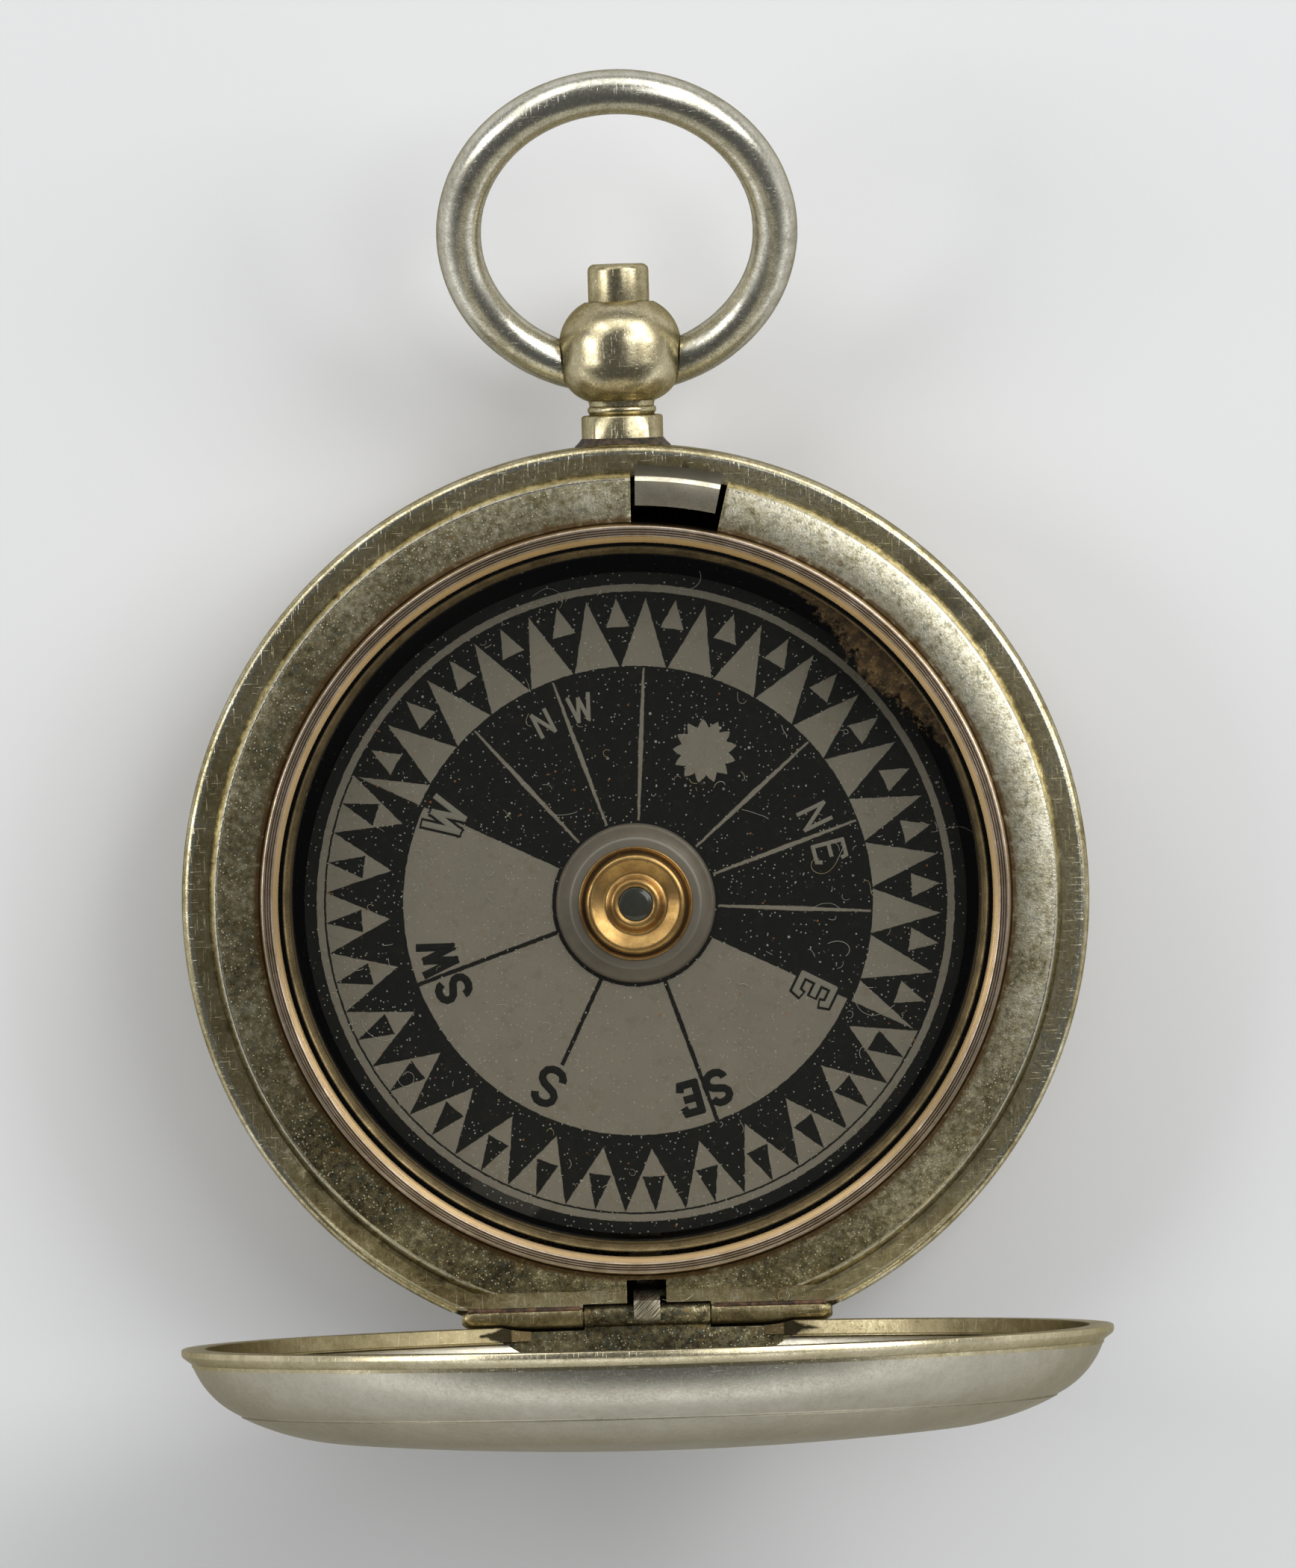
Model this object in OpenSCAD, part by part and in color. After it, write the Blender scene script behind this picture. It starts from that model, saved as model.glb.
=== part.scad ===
// Pocket compass with a sprung hinged lid, a pendant with a push button and a swinging bow.
// It lies on its back: X to the right, Y towards the pendant, Z out of the dial.
// The origin is the centre of the flat of the back.

/* [Case] */
// Outside diameter of the case
case_d = 46; // [42:0.5:54]
// Height from the flat of the back to the ledge that seats the lid
case_h = 9; // [8.7:0.1:11]
// Sheet thickness of the pressed back
back_wall = 0.5; // [0.35:0.05:0.55]
// How far the flat of the back stops short of the outside
land_in = 9; // [7:0.5:12]
// How far the crease in the back stops short of the outside
crease_in = 2.75; // [2:0.25:3.5]
// Height of the crease above the flat of the back
crease_h = 1.6; // [1.2:0.1:2]
// Height at which the side of the back becomes upright
side_h = 4.2; // [3.8:0.1:4.4]
// Height of the joint between back and band
joint_h = 5; // [4.8:0.1:5.2]
// Radial wall of the turned band
band_wall = 1.1; // [0.9:0.05:1.3]
// Radius of the rounded top edge of the band
band_edge = 0.45; // [0.2:0.05:0.6]
// Width of the ledge from the rounded edge to the dial plate
ledge_w = 0.9; // [0.7:0.05:1.1]
// Thickness of the inward flange below the ledge
flange_t = 0.7; // [0.5:0.05:0.8]
// Inward reach of the flange from the outside of the case
flange_in = 2.1; // [1.9:0.05:2.4]

/* [Dial plate and glass] */
// Thickness of the flat plate round the glass
plate_t = 0.6; // [0.4:0.05:0.8]
// Width of the bevel along the outer edge of the plate
plate_bevel = 0.35; // [0.2:0.05:0.5]
// Width of the plate that shows outside the bezel
plate_w = 2.55; // [2.3:0.05:2.8]
// Radial width of the top of the bezel
bezel_w = 0.9; // [0.8:0.05:1.2]
// Height of the bezel above the plate
bezel_h = 0.9; // [0.8:0.05:1.2]
// Depth of the bezel's skirt below the top of the plate
skirt_h = 1; // [0.8:0.1:1.2]
// Radial wall of the skirt
skirt_wall = 0.55; // [0.45:0.05:0.6]
// Thickness of the glass
glass_t = 0.7; // [0.5:0.05:0.9]
// How far the glass reaches under the lip of the bezel
glass_hold = 0.35; // [0.25:0.05:0.4]
// Thickness of the bezel's lip over the glass
lip_t = 0.3; // [0.2:0.05:0.4]
// Radial width of the brass ring under the glass
ring_w = 0.4; // [0.3:0.05:0.6]
// Shadow gap between the skirt and the brass ring
ring_gap = 0.3; // [0.2:0.05:0.4]

/* [Bowl, pivot and card] */
// Sheet thickness of the blackened bowl
bowl_t = 0.45; // [0.3:0.05:0.5]
// Distance of the pivot from the centre of the case, towards the hinge
pivot_off = 0.3; // [0:0.05:0.4]
// Radius of the brass post that carries the needle
post_r = 0.9; // [0.7:0.05:1.1]
// Radius of the steel needle
needle_r = 0.35; // [0.25:0.05:0.45]
// Distance of the needle's tip below the glass
tip_drop = 1.55; // [1.5:0.05:1.7]
// Length of the needle's ground point
point_l = 1.5; // [1:0.1:1.8]
// Gap between the rim of the card and the bowl
card_gap = 0.6; // [0.45:0.05:1]
// Thickness of the card
card_t = 0.15; // [0.1:0.01:0.2]
// Distance of the underside of the card below the glass
card_drop = 2.6; // [2.5:0.05:2.7]
// Radius of the pale collar on the card
collar_r = 4.06; // [3.6:0.1:4.6]
// Thickness of the collar's rim
collar_t = 0.3; // [0.2:0.05:0.35]
// Radius of the raised step on the collar
collar_step_r = 3.3; // [3.1:0.05:3.5]
// Radius of the collar's sleeve below the card
sleeve_r = 1.9; // [1.7:0.05:2.2]
// Depth of the sleeve below the card
sleeve_h = 0.9; // [0.8:0.05:1]
// Radius of the gilt cap's flange
cap_r = 2.9; // [2.7:0.05:3]
// Radius of the gilt cap's boss
boss_r = 2.4; // [2.2:0.05:2.55]
// Height of the gilt cap
cap_h = 1; // [0.9:0.05:1.1]
// Radius of the jewel
jewel_r = 0.87; // [0.8:0.01:0.95]
// Height of the jewel
jewel_h = 1.15; // [1.1:0.05:1.2]
// Length of the magnet bar below the card
magnet_l = 26; // [20:1:30]
// Width of the magnet bar
magnet_w = 5; // [4.8:0.1:6]
// Thickness of the magnet bar
magnet_t = 0.6; // [0.4:0.05:0.65]
// How far the north of the card stands clockwise from the pendant
north_turn = 26; // [0:1:90]

/* [Card lifter] */
// Distance of the lifter's pin inside the outside of the bowl
lever_pin_in = 5.68; // [5.6:0.02:6.2]
// Height of the lifter's pin above the flat of the back
lever_pin_z = 4.6; // [4.5:0.05:4.7]
// Radius of the lifter's pin
lever_pin_r = 0.3; // [0.2:0.02:0.35]
// Width of the lifter's arm
lever_w = 1.6; // [1.2:0.1:2]
// Thickness of the lifter's arm
lever_t = 0.4; // [0.3:0.05:0.45]
// Outside radius of the lifter's ring
lever_ring_r = 2.4; // [2.2:0.05:2.5]
// Inside radius of the lifter's ring
lever_hole_r = 1.4; // [1.3:0.05:1.5]
// How far the ring lies below the sleeve while the card is free
lever_gap = 0.25; // [0.2:0.01:0.3]
// Thickness of the bracket's ears
ear_t = 0.4; // [0.3:0.05:0.5]

/* [Catch and springs] */
// Thickness of the spring leaves
leaf_t = 0.4; // [0.3:0.05:0.45]
// Room between the screws' heads and the flange
leaf_room = 0.45; // [0.35:0.05:0.6]
// Radius of the screws' threads
screw_r = 0.5; // [0.4:0.02:0.55]
// Radius of the screws' heads
screw_head_r = 0.85; // [0.7:0.05:0.9]
// Height of the screws' heads
screw_head_h = 0.4; // [0.3:0.02:0.45]
// Direction of the catch spring's screw
catch_screw_a = 118; // [112:1:124]
// Direction of the catch's near side
catch_a1 = 88.5; // [88:0.25:89]
// Direction of the catch's far side
catch_a2 = 76.8; // [76:0.25:78]
// Radial width of the catch's head
head_w = 1.25; // [1.1:0.05:1.3]
// How far the catch hooks over the lip of the lid
hook_over = 0.2; // [0.15:0.01:0.22]
// Height of the hook above its underside
hook_h = 0.75; // [0.6:0.05:0.85]
// Direction of the lid spring's screw
fly_screw_a = 300; // [296:1:304]
// Width of the lid spring's finger
finger_w = 1.33; // [1.1:0.05:1.5]
// Thickness of the lid spring's finger
finger_t = 0.45; // [0.35:0.05:0.5]
// How far the finger draws back when the lid closes
finger_travel = 0.5; // [0.4:0.01:0.52]

/* [Hinge] */
// Distance of the hinge's axis inside the outline of the case
hinge_in = 1.9; // [1.85:0.05:2]
// How far the hinge's axis lies below the rim of the case
hinge_sink = 0.45; // [0.4:0.01:0.5]
// Radius of the knuckles
knuckle_r = 0.6; // [0.55:0.01:0.62]
// Length of the whole barrel
barrel_l = 18.8; // [17:0.2:18.8]
// Length of the middle knuckle
middle_l = 6.4; // [5:0.2:7]
// Radius of the hinge's pin
hinge_pin_r = 0.28; // [0.2:0.01:0.32]
// Angle at which the lid stands open
lid_open = 87.5; // [60:0.5:90]

/* [Lid] */
// Height of the lid's lip, up to the groove that the catch enters
lid_lip_h = 0.75; // [0.65:0.05:0.85]
// Height of the whole rim ring
rim_h = 0.9; // [0.9:0.05:1]
// Inset of the notch below the lip
rim_notch = 0.5; // [0.35:0.05:0.5]
// Sheet thickness of the pressed dome
dome_wall = 0.35; // [0.3:0.05:0.4]
// Height of the crease above the rim
dome_crease_h = 3.3; // [3.2:0.1:3.6]
// Inset of the crease from the outside of the lid
dome_crease_in = 2.75; // [2.5:0.05:3]
// Height of the shoulder's end above the rim
shoulder_h = 4.8; // [4.6:0.05:5]
// Inset of the shoulder's end from the outside of the lid
shoulder_in = 7.5; // [6.5:0.1:9]
// Height of the dome above the rim
dome_h = 5.55; // [5.4:0.05:6]
// Width of the flat wall that carries the middle knuckle
hinge_wall_w = 14.7; // [14:0.1:15.4]
// Thickness of that wall
hinge_wall_t = 0.5; // [0.4:0.05:0.5]

/* [Pendant, button and bow] */
// Height of the pendant's axis above the flat of the back
pendant_z = 6.2; // [6.1:0.05:6.3]
// Radius of the collar on the case
neck_collar_r = 2.07; // [1.9:0.05:2.1]
// Length of that collar outside the case
neck_collar_l = 1.5; // [1.3:0.05:1.8]
// Radius of the bead above the collar
bead_r = 1.75; // [1.6:0.05:1.9]
// Length of the bead
bead_l = 0.5; // [0.4:0.05:0.6]
// Radius of the ball
ball_r = 3.1; // [2.9:0.05:3.4]
// Length of the ball below its widest place
ball_low = 2.4; // [2.2:0.1:2.6]
// Length of the ball above its widest place
ball_high = 2.6; // [2.4:0.1:2.8]
// Radius of the flat on top of the ball
ball_top_r = 1.8; // [1.7:0.05:1.95]
// Half length of the straight waist round the ball
ball_waist = 0.45; // [0.2:0.05:1.1]
// Radius of the push button
button_r = 1.55; // [1.4:0.05:1.6]
// How far the button stands out of the ball
button_out = 1.95; // [1.6:0.05:2.2]
// Travel of the button
button_travel = 0.5; // [0.4:0.01:0.52]
// Radius of the button's stem
stem_r = 0.8; // [0.7:0.05:0.85]
// Radius of the bow's wire
wire_r = 1.135; // [0.9:0.05:1.2]
// Radius of the bow along the middle of its wire
bow_r = 8; // [7:0.1:9]
// How far the ends of the bow reach past the line of its pins
bow_drop = 0.4; // [0:0.05:0.5]
// Radius of the pins at the ends of the bow
bow_pin_r = 0.55; // [0.4:0.05:0.6]
// Length of those pins inside the ball
bow_pin_l = 1; // [0.8:0.05:1.1]
// Angle at which the bow leans up from the plane of the case
bow_lean = 28; // [0:1:60]

/* [Hidden] */
$fn = 96;

// Overrun of every cut
over = 0.5;
// Clearance between pieces that are fixed to each other
seat = 0.02;
// Running clearance of pins and stems
run_gap = 0.04;
// Clearance between moving pieces
free_gap = 0.15;
// Clearance between a moving flat and the flat that stops it
stop_gap = 0.05;

// How much a shallow arc swells, as a share of its chord
side_share = 0.1;
shoulder_share = 0.063;
lid_shoulder_share = 0.048;
// How far the inside of a crease moves, as a share of the sheet's thickness
crease_share = 0.75;

// Case
case_r = case_d / 2;
spigot_h = 0.7;
crease_step = 0.06;
flange_r = case_r - flange_in;
flange_z = case_h - flange_t;
band_in_r = case_r - band_wall;

// Hinge
hinge_y = case_r - hinge_in;
hinge_z = case_h - hinge_sink;
knuckle_gap = 0.05;
// The lid's flat wall reaches this far past the axis, and the case's shelf lies below it
hinge_wall_out = 0.4;
wall_out_y = hinge_y + hinge_wall_out;
wall_in_y = wall_out_y - hinge_wall_t;
chord_y = hinge_y - knuckle_r / 2;
shelf_z = hinge_z - hinge_wall_out - free_gap;
block_h = 1.4;
notch_w = 2;
knuckle_round = 0.4;
pin_short = 0.5;

// Dial plate, bezel and glass
plate_r = case_r - band_edge - ledge_w;
plate_top = case_h + plate_t;
bezel_r = plate_r - plate_w;
glass_hole_r = bezel_r - bezel_w;
bezel_top = plate_top + bezel_h;
bezel_bevel = 0.2;
skirt_r = glass_hole_r + skirt_wall;
skirt_z = plate_top - skirt_h;
glass_r = glass_hole_r + glass_hold;
glass_top = bezel_top - lip_t;
glass_z = glass_top - glass_t;
tip_h = glass_z - tip_drop;
card_z = glass_z - card_drop;
ring_r = glass_hole_r - ring_gap;
// The fine turned grooves on top of the bezel
groove_w = 0.12;
groove_d = 0.05;
groove_pitch = 0.2;
notch_y = bezel_r + free_gap + stop_gap;
plate_chord_y = chord_y - 1.0;

// Bowl
bowl_r = ring_r - seat;
bowl_in_r = bowl_r - bowl_t;
lever_pin_y = bowl_r - lever_pin_in;
bowl_corner_w = 4.5;
bowl_corner_h = 1.5;
floor_z = back_wall + bowl_t;
post_flange_r = 2.5;
post_flange_h = 0.5;
post_short = 2.8;
needle_seat_h = 1.6;
needle_tip_r = 0.03;

// Card
card_r = bowl_in_r - card_gap;
card_top = card_z + card_t;
step_h = 0.12;
collar_top = card_top + collar_t + step_h;
tube_r = 1.5;
tube_in_r = 1.2;
cap_flange_h = 0.2;
cap_round = 0.35;
cap_groove_r = 1.65;
cap_groove_d = 0.35;
cap_rim_r = 1.2;
cap_top = collar_top + cap_h;
jewel_set = 0.15;
jewel_top = cap_top - jewel_set;
jewel_z = jewel_top - jewel_h;
jewel_mouth_r = 0.6;
sleeve_z = card_z - sleeve_h;
magnet_z = card_z - magnet_t;
magnet_point = 3;
// How far the closing lid lifts the card off its needle
lift = 0.6;

// Lifter
ring_top = sleeve_z - lever_gap;
lever_boss_r = lever_pin_r + lever_t;
lever_arm = lever_pin_y - pivot_off + sleeve_r;
lever_turn = (lift + lever_gap - run_gap) / lever_arm;
bracket_gap = 0.1;
bracket_t = 0.4;
ear_l = 1.5;
bracket_w = lever_w + 2 * (ear_t + bracket_gap);
tail_drop = 1.2;
tail_h = 0.8;
tail_out = 0.75;
window_gap = 0.55;
tail_y = bowl_r + tail_out;
tail_shift = (tail_drop - tail_h / 2) * lever_turn;

// Springs and their screws
lug_h = 0.4;
lug_w = 3;
lug_in = 3.9;
screw_in = 2.7;
screw_y = case_r - screw_in;
leaf_z = joint_h + lug_h;
leaf_top = flange_z - leaf_room - screw_head_h - stop_gap;
leaf_h = leaf_top - leaf_z;
foot_out = 1.7;
foot_in = 3.6;
foot_a = 4;
screw_bite = 0.9;
slot_depth = 0.18;
slot_w = 0.25;

// Lid, drawn closed
rim_z = case_h + stop_gap;
lip_in_r = plate_r + free_gap;
lid_groove = 0.5;
rim_lip_edge = 0.1;
rim_band = 0.4;
rim_top_r = case_r - rim_notch;
dome_slope_share = tan(atan2(dome_h - shoulder_h, case_r - shoulder_in) / 2) / 2;

// Catch
leaf_in = 2.1;
catch_leaf_r = case_r - leaf_in;
head_back = 0.45;
head_r2 = plate_r - head_back;
head_r1 = head_r2 - head_w;
hook_r = lip_in_r + hook_over;
hook_z = rim_z + lid_lip_h + 2 * stop_gap;
hook_edge = 0.15;
slot_a1 = 0.7;
slot_a2 = 1.3;
slot_back = 0.25;
catch_arm = screw_y * -cos(catch_screw_a);

// Lid spring
riser_y2 = hinge_y - knuckle_r - free_gap;
riser_y1 = riser_y2 - finger_t;
finger_z = hinge_z + knuckle_r + free_gap + stop_gap;
tip_y = wall_in_y + finger_travel - 2 * stop_gap;
nose_drop = 0.15;
fly_arm = screw_y * cos(fly_screw_a);
pusher_w = 1;
pusher_top = lever_pin_z - 0.6 * tail_h;
pusher_z = lever_pin_z - tail_drop - tail_h / 2;
pusher_y = tail_y + finger_travel - tail_shift + run_gap;

// Pendant, button and bow
neck_r = 1.7;
neck_l = 0.7;
groove_l = 0.1;
ball_y = case_r + neck_collar_l + neck_l + ball_low;
ball_top_y = ball_y + ball_high;
ball_low_share = tan(atan2(ball_r - neck_r, ball_low - ball_waist) / 2) / 2;
ball_high_share = tan(atan2(ball_r - ball_top_r, ball_high - ball_waist) / 2) / 2;
button_hole_y = ball_y + bow_pin_r + 2 * free_gap;
button_y = button_hole_y + button_travel + stop_gap;
button_top_y = ball_top_y + button_out;
button_round = 0.35;
stem_tip_y = catch_leaf_r + run_gap;
stem_tip_r = 0.45;
bow_end_x = ball_r + stop_gap;
bow_c = sqrt(bow_r * bow_r - bow_end_x * bow_end_x) - bow_drop;
pendant_root = 0.6;
// Keeps the seam of a drilled hole away from the seam of the ball
seam_turn = 40;

nickel = [0.66, 0.65, 0.58];
plate_grey = [0.5, 0.5, 0.44];
steel = [0.55, 0.55, 0.54];
brass = [0.6, 0.47, 0.25];
gilt = [0.8, 0.6, 0.28];
black = [0.08, 0.08, 0.08];

echo(catch_turn_per_mm = 1 / catch_arm, fly_turn = finger_travel / fly_arm, lever_turn = lever_turn,
     ball_y = ball_y, hinge_y = hinge_y, screw_y = screw_y, lift = lift);

// Points along a shallow arc from a up to b, without b, that swells to the right of the way
function arc_pts(a, b, share, n = 10) =
    let (c = norm(b - a), sag = share * c, r = (c * c / 4 + sag * sag) / (2 * sag), u = (b - a) / c,
         v = [u[1], -u[0]], half = asin(c / 2 / r), m = (a + b) / 2 - v * (r - sag))
    [for (i = [0 : n - 1]) let (t = half * (2 * i / n - 1)) m + v * r * cos(t) + u * r * sin(t)];

// Points of a quarter round about c, from direction a1 to a2
function round_pts(c, r, a1, a2, n = 6) =
    [for (i = [0 : n]) let (t = a1 + (a2 - a1) * i / n) c + r * [cos(t), sin(t)]];

function backwards(list) = [for (i = [len(list) - 1 : -1 : 0]) list[i]];

// Outline of the back, w inside its outer face
function back_line(w) =
    let (land = [case_r - land_in, w],
         crease = [case_r - crease_in - w * crease_share, crease_h + w * crease_share],
         side = [case_r - w, side_h])
    concat([[0, w]], arc_pts(land, crease - [0, w > 0 ? 0 : crease_step], shoulder_share),
           arc_pts(crease, side, side_share), [side, [case_r - w, joint_h]]);

// Outline of the closed lid's dome above its rim, w inside its outer face
function dome_line(w) =
    let (foot = [rim_top_r - w, rim_h],
         crease = [case_r - dome_crease_in - w * crease_share, dome_crease_h - w * crease_share],
         shoulder = [case_r - shoulder_in, shoulder_h - w],
         top = [0, dome_h - w])
    concat(arc_pts(foot, crease, side_share),
           arc_pts(crease - [w > 0 ? 0 : crease_step, 0], shoulder, lid_shoulder_share),
           arc_pts(shoulder, top, dome_slope_share), [top]);

// A piece of a ring between two directions
module sector(a1, a2, r1, r2, h) rotate([0, 0, a1]) rotate_extrude(angle = a2 - a1)
    translate([r1, 0]) square([r2 - r1, h]);

// A turned piece whose axis is Y, at the pendant's height
module along_y() translate([0, 0, pendant_z]) rotate([-90, 0, 0]) children();

// A bar or hole along X about the hinge's axis
module along_hinge(x1, x2, r) translate([x1, -hinge_y, hinge_z]) rotate([0, 90, 0])
    cylinder(r = r, h = x2 - x1);

// Turns the closed lid to where it stands open
module opened() translate([0, -hinge_y, hinge_z]) rotate([lid_open, 0, 0])
    translate([0, hinge_y, -hinge_z]) children();

module at_screw(a) rotate([0, 0, a]) translate([screw_y, 0, 0]) children();

module lug(a) rotate([0, 0, a]) translate([case_r - lug_in, -lug_w / 2, joint_h - spigot_h])
    cube([lug_in - band_wall + seat, lug_w, spigot_h + lug_h]);

module case_band() color(nickel) difference() {
    union() {
        rotate_extrude() polygon(concat(
            [[case_r - back_wall - seat, joint_h], [case_r, joint_h]],
            round_pts([case_r - band_edge, case_h - band_edge], band_edge, 0, 90),
            [[flange_r, case_h], [flange_r, flange_z], [band_in_r, flange_z],
             [band_in_r, joint_h - spigot_h], [case_r - back_wall - seat, joint_h - spigot_h]]));
        intersection() {
            translate([0, 0, flange_z]) cylinder(r = case_r - band_edge, h = flange_t);
            translate([-case_r, -case_r, flange_z]) cube([case_d, case_r - notch_y - seat, flange_t]);
        }
        intersection() {
            translate([0, 0, case_h - block_h]) cylinder(r = case_r - band_edge, h = block_h);
            translate([-case_r, -case_r, case_h - block_h])
                cube([case_d, case_r - riser_y2 - free_gap, block_h]);
        }
        lug(catch_screw_a);
        lug(fly_screw_a);
    }
    translate([-case_r, -case_r - over, shelf_z]) cube([case_d, case_r + over - chord_y, case_h]);
    along_hinge(-barrel_l / 2 - over, barrel_l / 2 + over, knuckle_r + seat);
    along_hinge(-middle_l / 2 - knuckle_gap, middle_l / 2 + knuckle_gap, knuckle_r + free_gap);
    translate([-notch_w / 2, -chord_y - over, flange_z - over])
        cube([notch_w, chord_y + over - notch_y, flange_t + 2 * over]);
    translate([0, 0, flange_z - over])
        sector(catch_a2 - slot_a2, catch_a1 + slot_a1, flange_r - over, head_r2 + slot_back, flange_t + 2 * over);
    along_y() translate([0, 0, band_in_r - over]) cylinder(r = stem_r + free_gap, h = band_wall + 2 * over);
    for (a = [catch_screw_a, fly_screw_a])
        at_screw(a) translate([0, 0, leaf_z - screw_bite]) cylinder(r = screw_r + seat, h = screw_bite + over);
}

module case_back() color(nickel)
    rotate_extrude() polygon(concat(back_line(0), backwards(back_line(back_wall))));

module front_plate() color(plate_grey) difference() {
    rotate_extrude() polygon([[skirt_r + seat, case_h], [plate_r, case_h],
        [plate_r - plate_bevel, plate_top], [skirt_r + seat, plate_top]]);
    translate([-case_r, -case_r, case_h - over]) cube([case_d, case_r - plate_chord_y, plate_t + 2 * over]);
    translate([-notch_w / 2, -case_r, case_h - over]) cube([notch_w, case_r - notch_y, plate_t + 2 * over]);
    translate([0, 0, case_h - over])
        sector(catch_a2 - slot_a2, catch_a1 + slot_a1, bezel_r - stop_gap, case_r, plate_t + 2 * over);
}

module glass_bezel() color([0.62, 0.55, 0.47]) rotate_extrude() polygon(concat(
    [[glass_hole_r, skirt_z], [skirt_r, skirt_z], [skirt_r, plate_top], [bezel_r, plate_top],
     [bezel_r, bezel_top - bezel_bevel], [bezel_r - bezel_bevel, bezel_top]],
    [for (i = [0 : 2], k = [0 : 2])
        [bezel_r - bezel_bevel - groove_pitch * (i + 0.5) - groove_w * (k - 1) / 2,
         bezel_top - (k == 1 ? groove_d : 0)]],
    [[glass_hole_r, bezel_top], [glass_hole_r, glass_top], [glass_r + seat, glass_top],
     [glass_r + seat, glass_z], [glass_hole_r, glass_z]]));

module crystal() color([0.85, 0.9, 0.9, 0.3])
    translate([0, 0, glass_z]) cylinder(r = glass_r, h = glass_t);

module crystal_ring() color(brass) translate([0, 0, skirt_z]) difference() {
    cylinder(r = ring_r, h = glass_z - skirt_z);
    translate([0, 0, -over]) cylinder(r = ring_r - ring_w, h = glass_z - skirt_z + 2 * over);
}

module bowl() color(black) difference() {
    rotate_extrude() polygon([[0, back_wall], [bowl_r - bowl_corner_w, back_wall],
        [bowl_r, back_wall + bowl_corner_h], [bowl_r, skirt_z], [bowl_in_r, skirt_z],
        [bowl_in_r, floor_z + bowl_corner_h - bowl_t / 2],
        [bowl_r - bowl_corner_w - bowl_t / 2, floor_z], [0, floor_z]]);
    translate([-lever_w / 2 - free_gap, -bowl_r - over, lever_pin_z - tail_drop - tail_h / 2 - window_gap])
        cube([lever_w + 2 * free_gap, bowl_t + 2 * over, tail_h + window_gap + 2 * free_gap]);
}

module at_pivot() translate([0, -pivot_off, 0]) children();

module pivot_post() color(brass) at_pivot() difference() {
    union() {
        translate([0, 0, floor_z]) cylinder(r = post_flange_r, h = post_flange_h);
        translate([0, 0, floor_z]) cylinder(r = post_r, h = tip_h - post_short - floor_z);
    }
    translate([0, 0, tip_h - post_short - needle_seat_h])
        cylinder(r = needle_r + seat, h = needle_seat_h + over);
}

module pivot_needle() color(steel) at_pivot() rotate_extrude() polygon([
    [0, tip_h - post_short - needle_seat_h], [needle_r, tip_h - post_short - needle_seat_h],
    [needle_r, tip_h - point_l], [needle_tip_r, tip_h], [0, tip_h]]);

module card_disc() color(black) at_pivot() translate([0, 0, card_z]) difference() {
    cylinder(r = card_r, h = card_t);
    translate([0, 0, -over]) cylinder(r = tube_r + seat, h = card_t + 2 * over);
}

module card_collar() color([0.6, 0.55, 0.52]) at_pivot() rotate_extrude() polygon([
    [tube_in_r, sleeve_z], [sleeve_r, sleeve_z], [sleeve_r, card_z], [tube_r, card_z], [tube_r, card_top],
    [collar_r, card_top], [collar_r, card_top + collar_t / 2], [collar_r - collar_t / 2, card_top + collar_t],
    [collar_step_r, card_top + collar_t], [collar_step_r, collar_top], [tube_in_r, collar_top]]);

module card_cap() color(gilt) at_pivot() rotate_extrude() polygon(concat(
    [[jewel_r + seat, collar_top], [cap_r, collar_top], [cap_r, collar_top + cap_flange_h],
     [boss_r, collar_top + cap_flange_h]],
    round_pts([boss_r - cap_round, cap_top - cap_round], cap_round, 0, 90, 5),
    [[cap_groove_r, cap_top - cap_groove_d], [cap_rim_r, cap_top - jewel_set / 2],
     [jewel_r + seat, cap_top - jewel_set]]));

module cap_jewel() color([0.3, 0.1, 0.12]) at_pivot() rotate_extrude() polygon([
    [jewel_mouth_r, jewel_z], [jewel_r, jewel_z], [jewel_r, jewel_top], [0, jewel_top],
    [0, tip_h + run_gap], [needle_tip_r, tip_h + run_gap]]);

module magnet_bar() color([0.3, 0.32, 0.36]) at_pivot() rotate([0, 0, -north_turn])
    translate([0, 0, magnet_z]) difference() {
        linear_extrude(magnet_t) polygon([[-magnet_w / 2, -magnet_l / 2 + magnet_point], [0, -magnet_l / 2],
            [magnet_w / 2, -magnet_l / 2 + magnet_point], [magnet_w / 2, magnet_l / 2 - magnet_point],
            [0, magnet_l / 2], [-magnet_w / 2, magnet_l / 2 - magnet_point]]);
        translate([0, 0, -over]) cylinder(r = sleeve_r + seat, h = magnet_t + 2 * over);
    }

module lifter_bracket() color(brass) difference() {
    union() {
        translate([-bracket_w / 2, -lever_pin_y - ear_l / 2, floor_z]) cube([bracket_w, ear_l, bracket_t]);
        for (side = [-1, 1])
            translate([side * (bracket_w - ear_t) / 2 - ear_t / 2, -lever_pin_y - ear_l / 2, floor_z])
                cube([ear_t, ear_l, lever_pin_z + ear_l / 2 - floor_z]);
    }
    translate([-bracket_w / 2 - over, -lever_pin_y, lever_pin_z]) rotate([0, 90, 0])
        cylinder(r = lever_pin_r + seat, h = bracket_w + 2 * over);
}

module lifter_pin() color(steel) translate([-bracket_w / 2 - bracket_gap, -lever_pin_y, lever_pin_z])
    rotate([0, 90, 0]) cylinder(r = lever_pin_r, h = bracket_w + 2 * bracket_gap);

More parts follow.
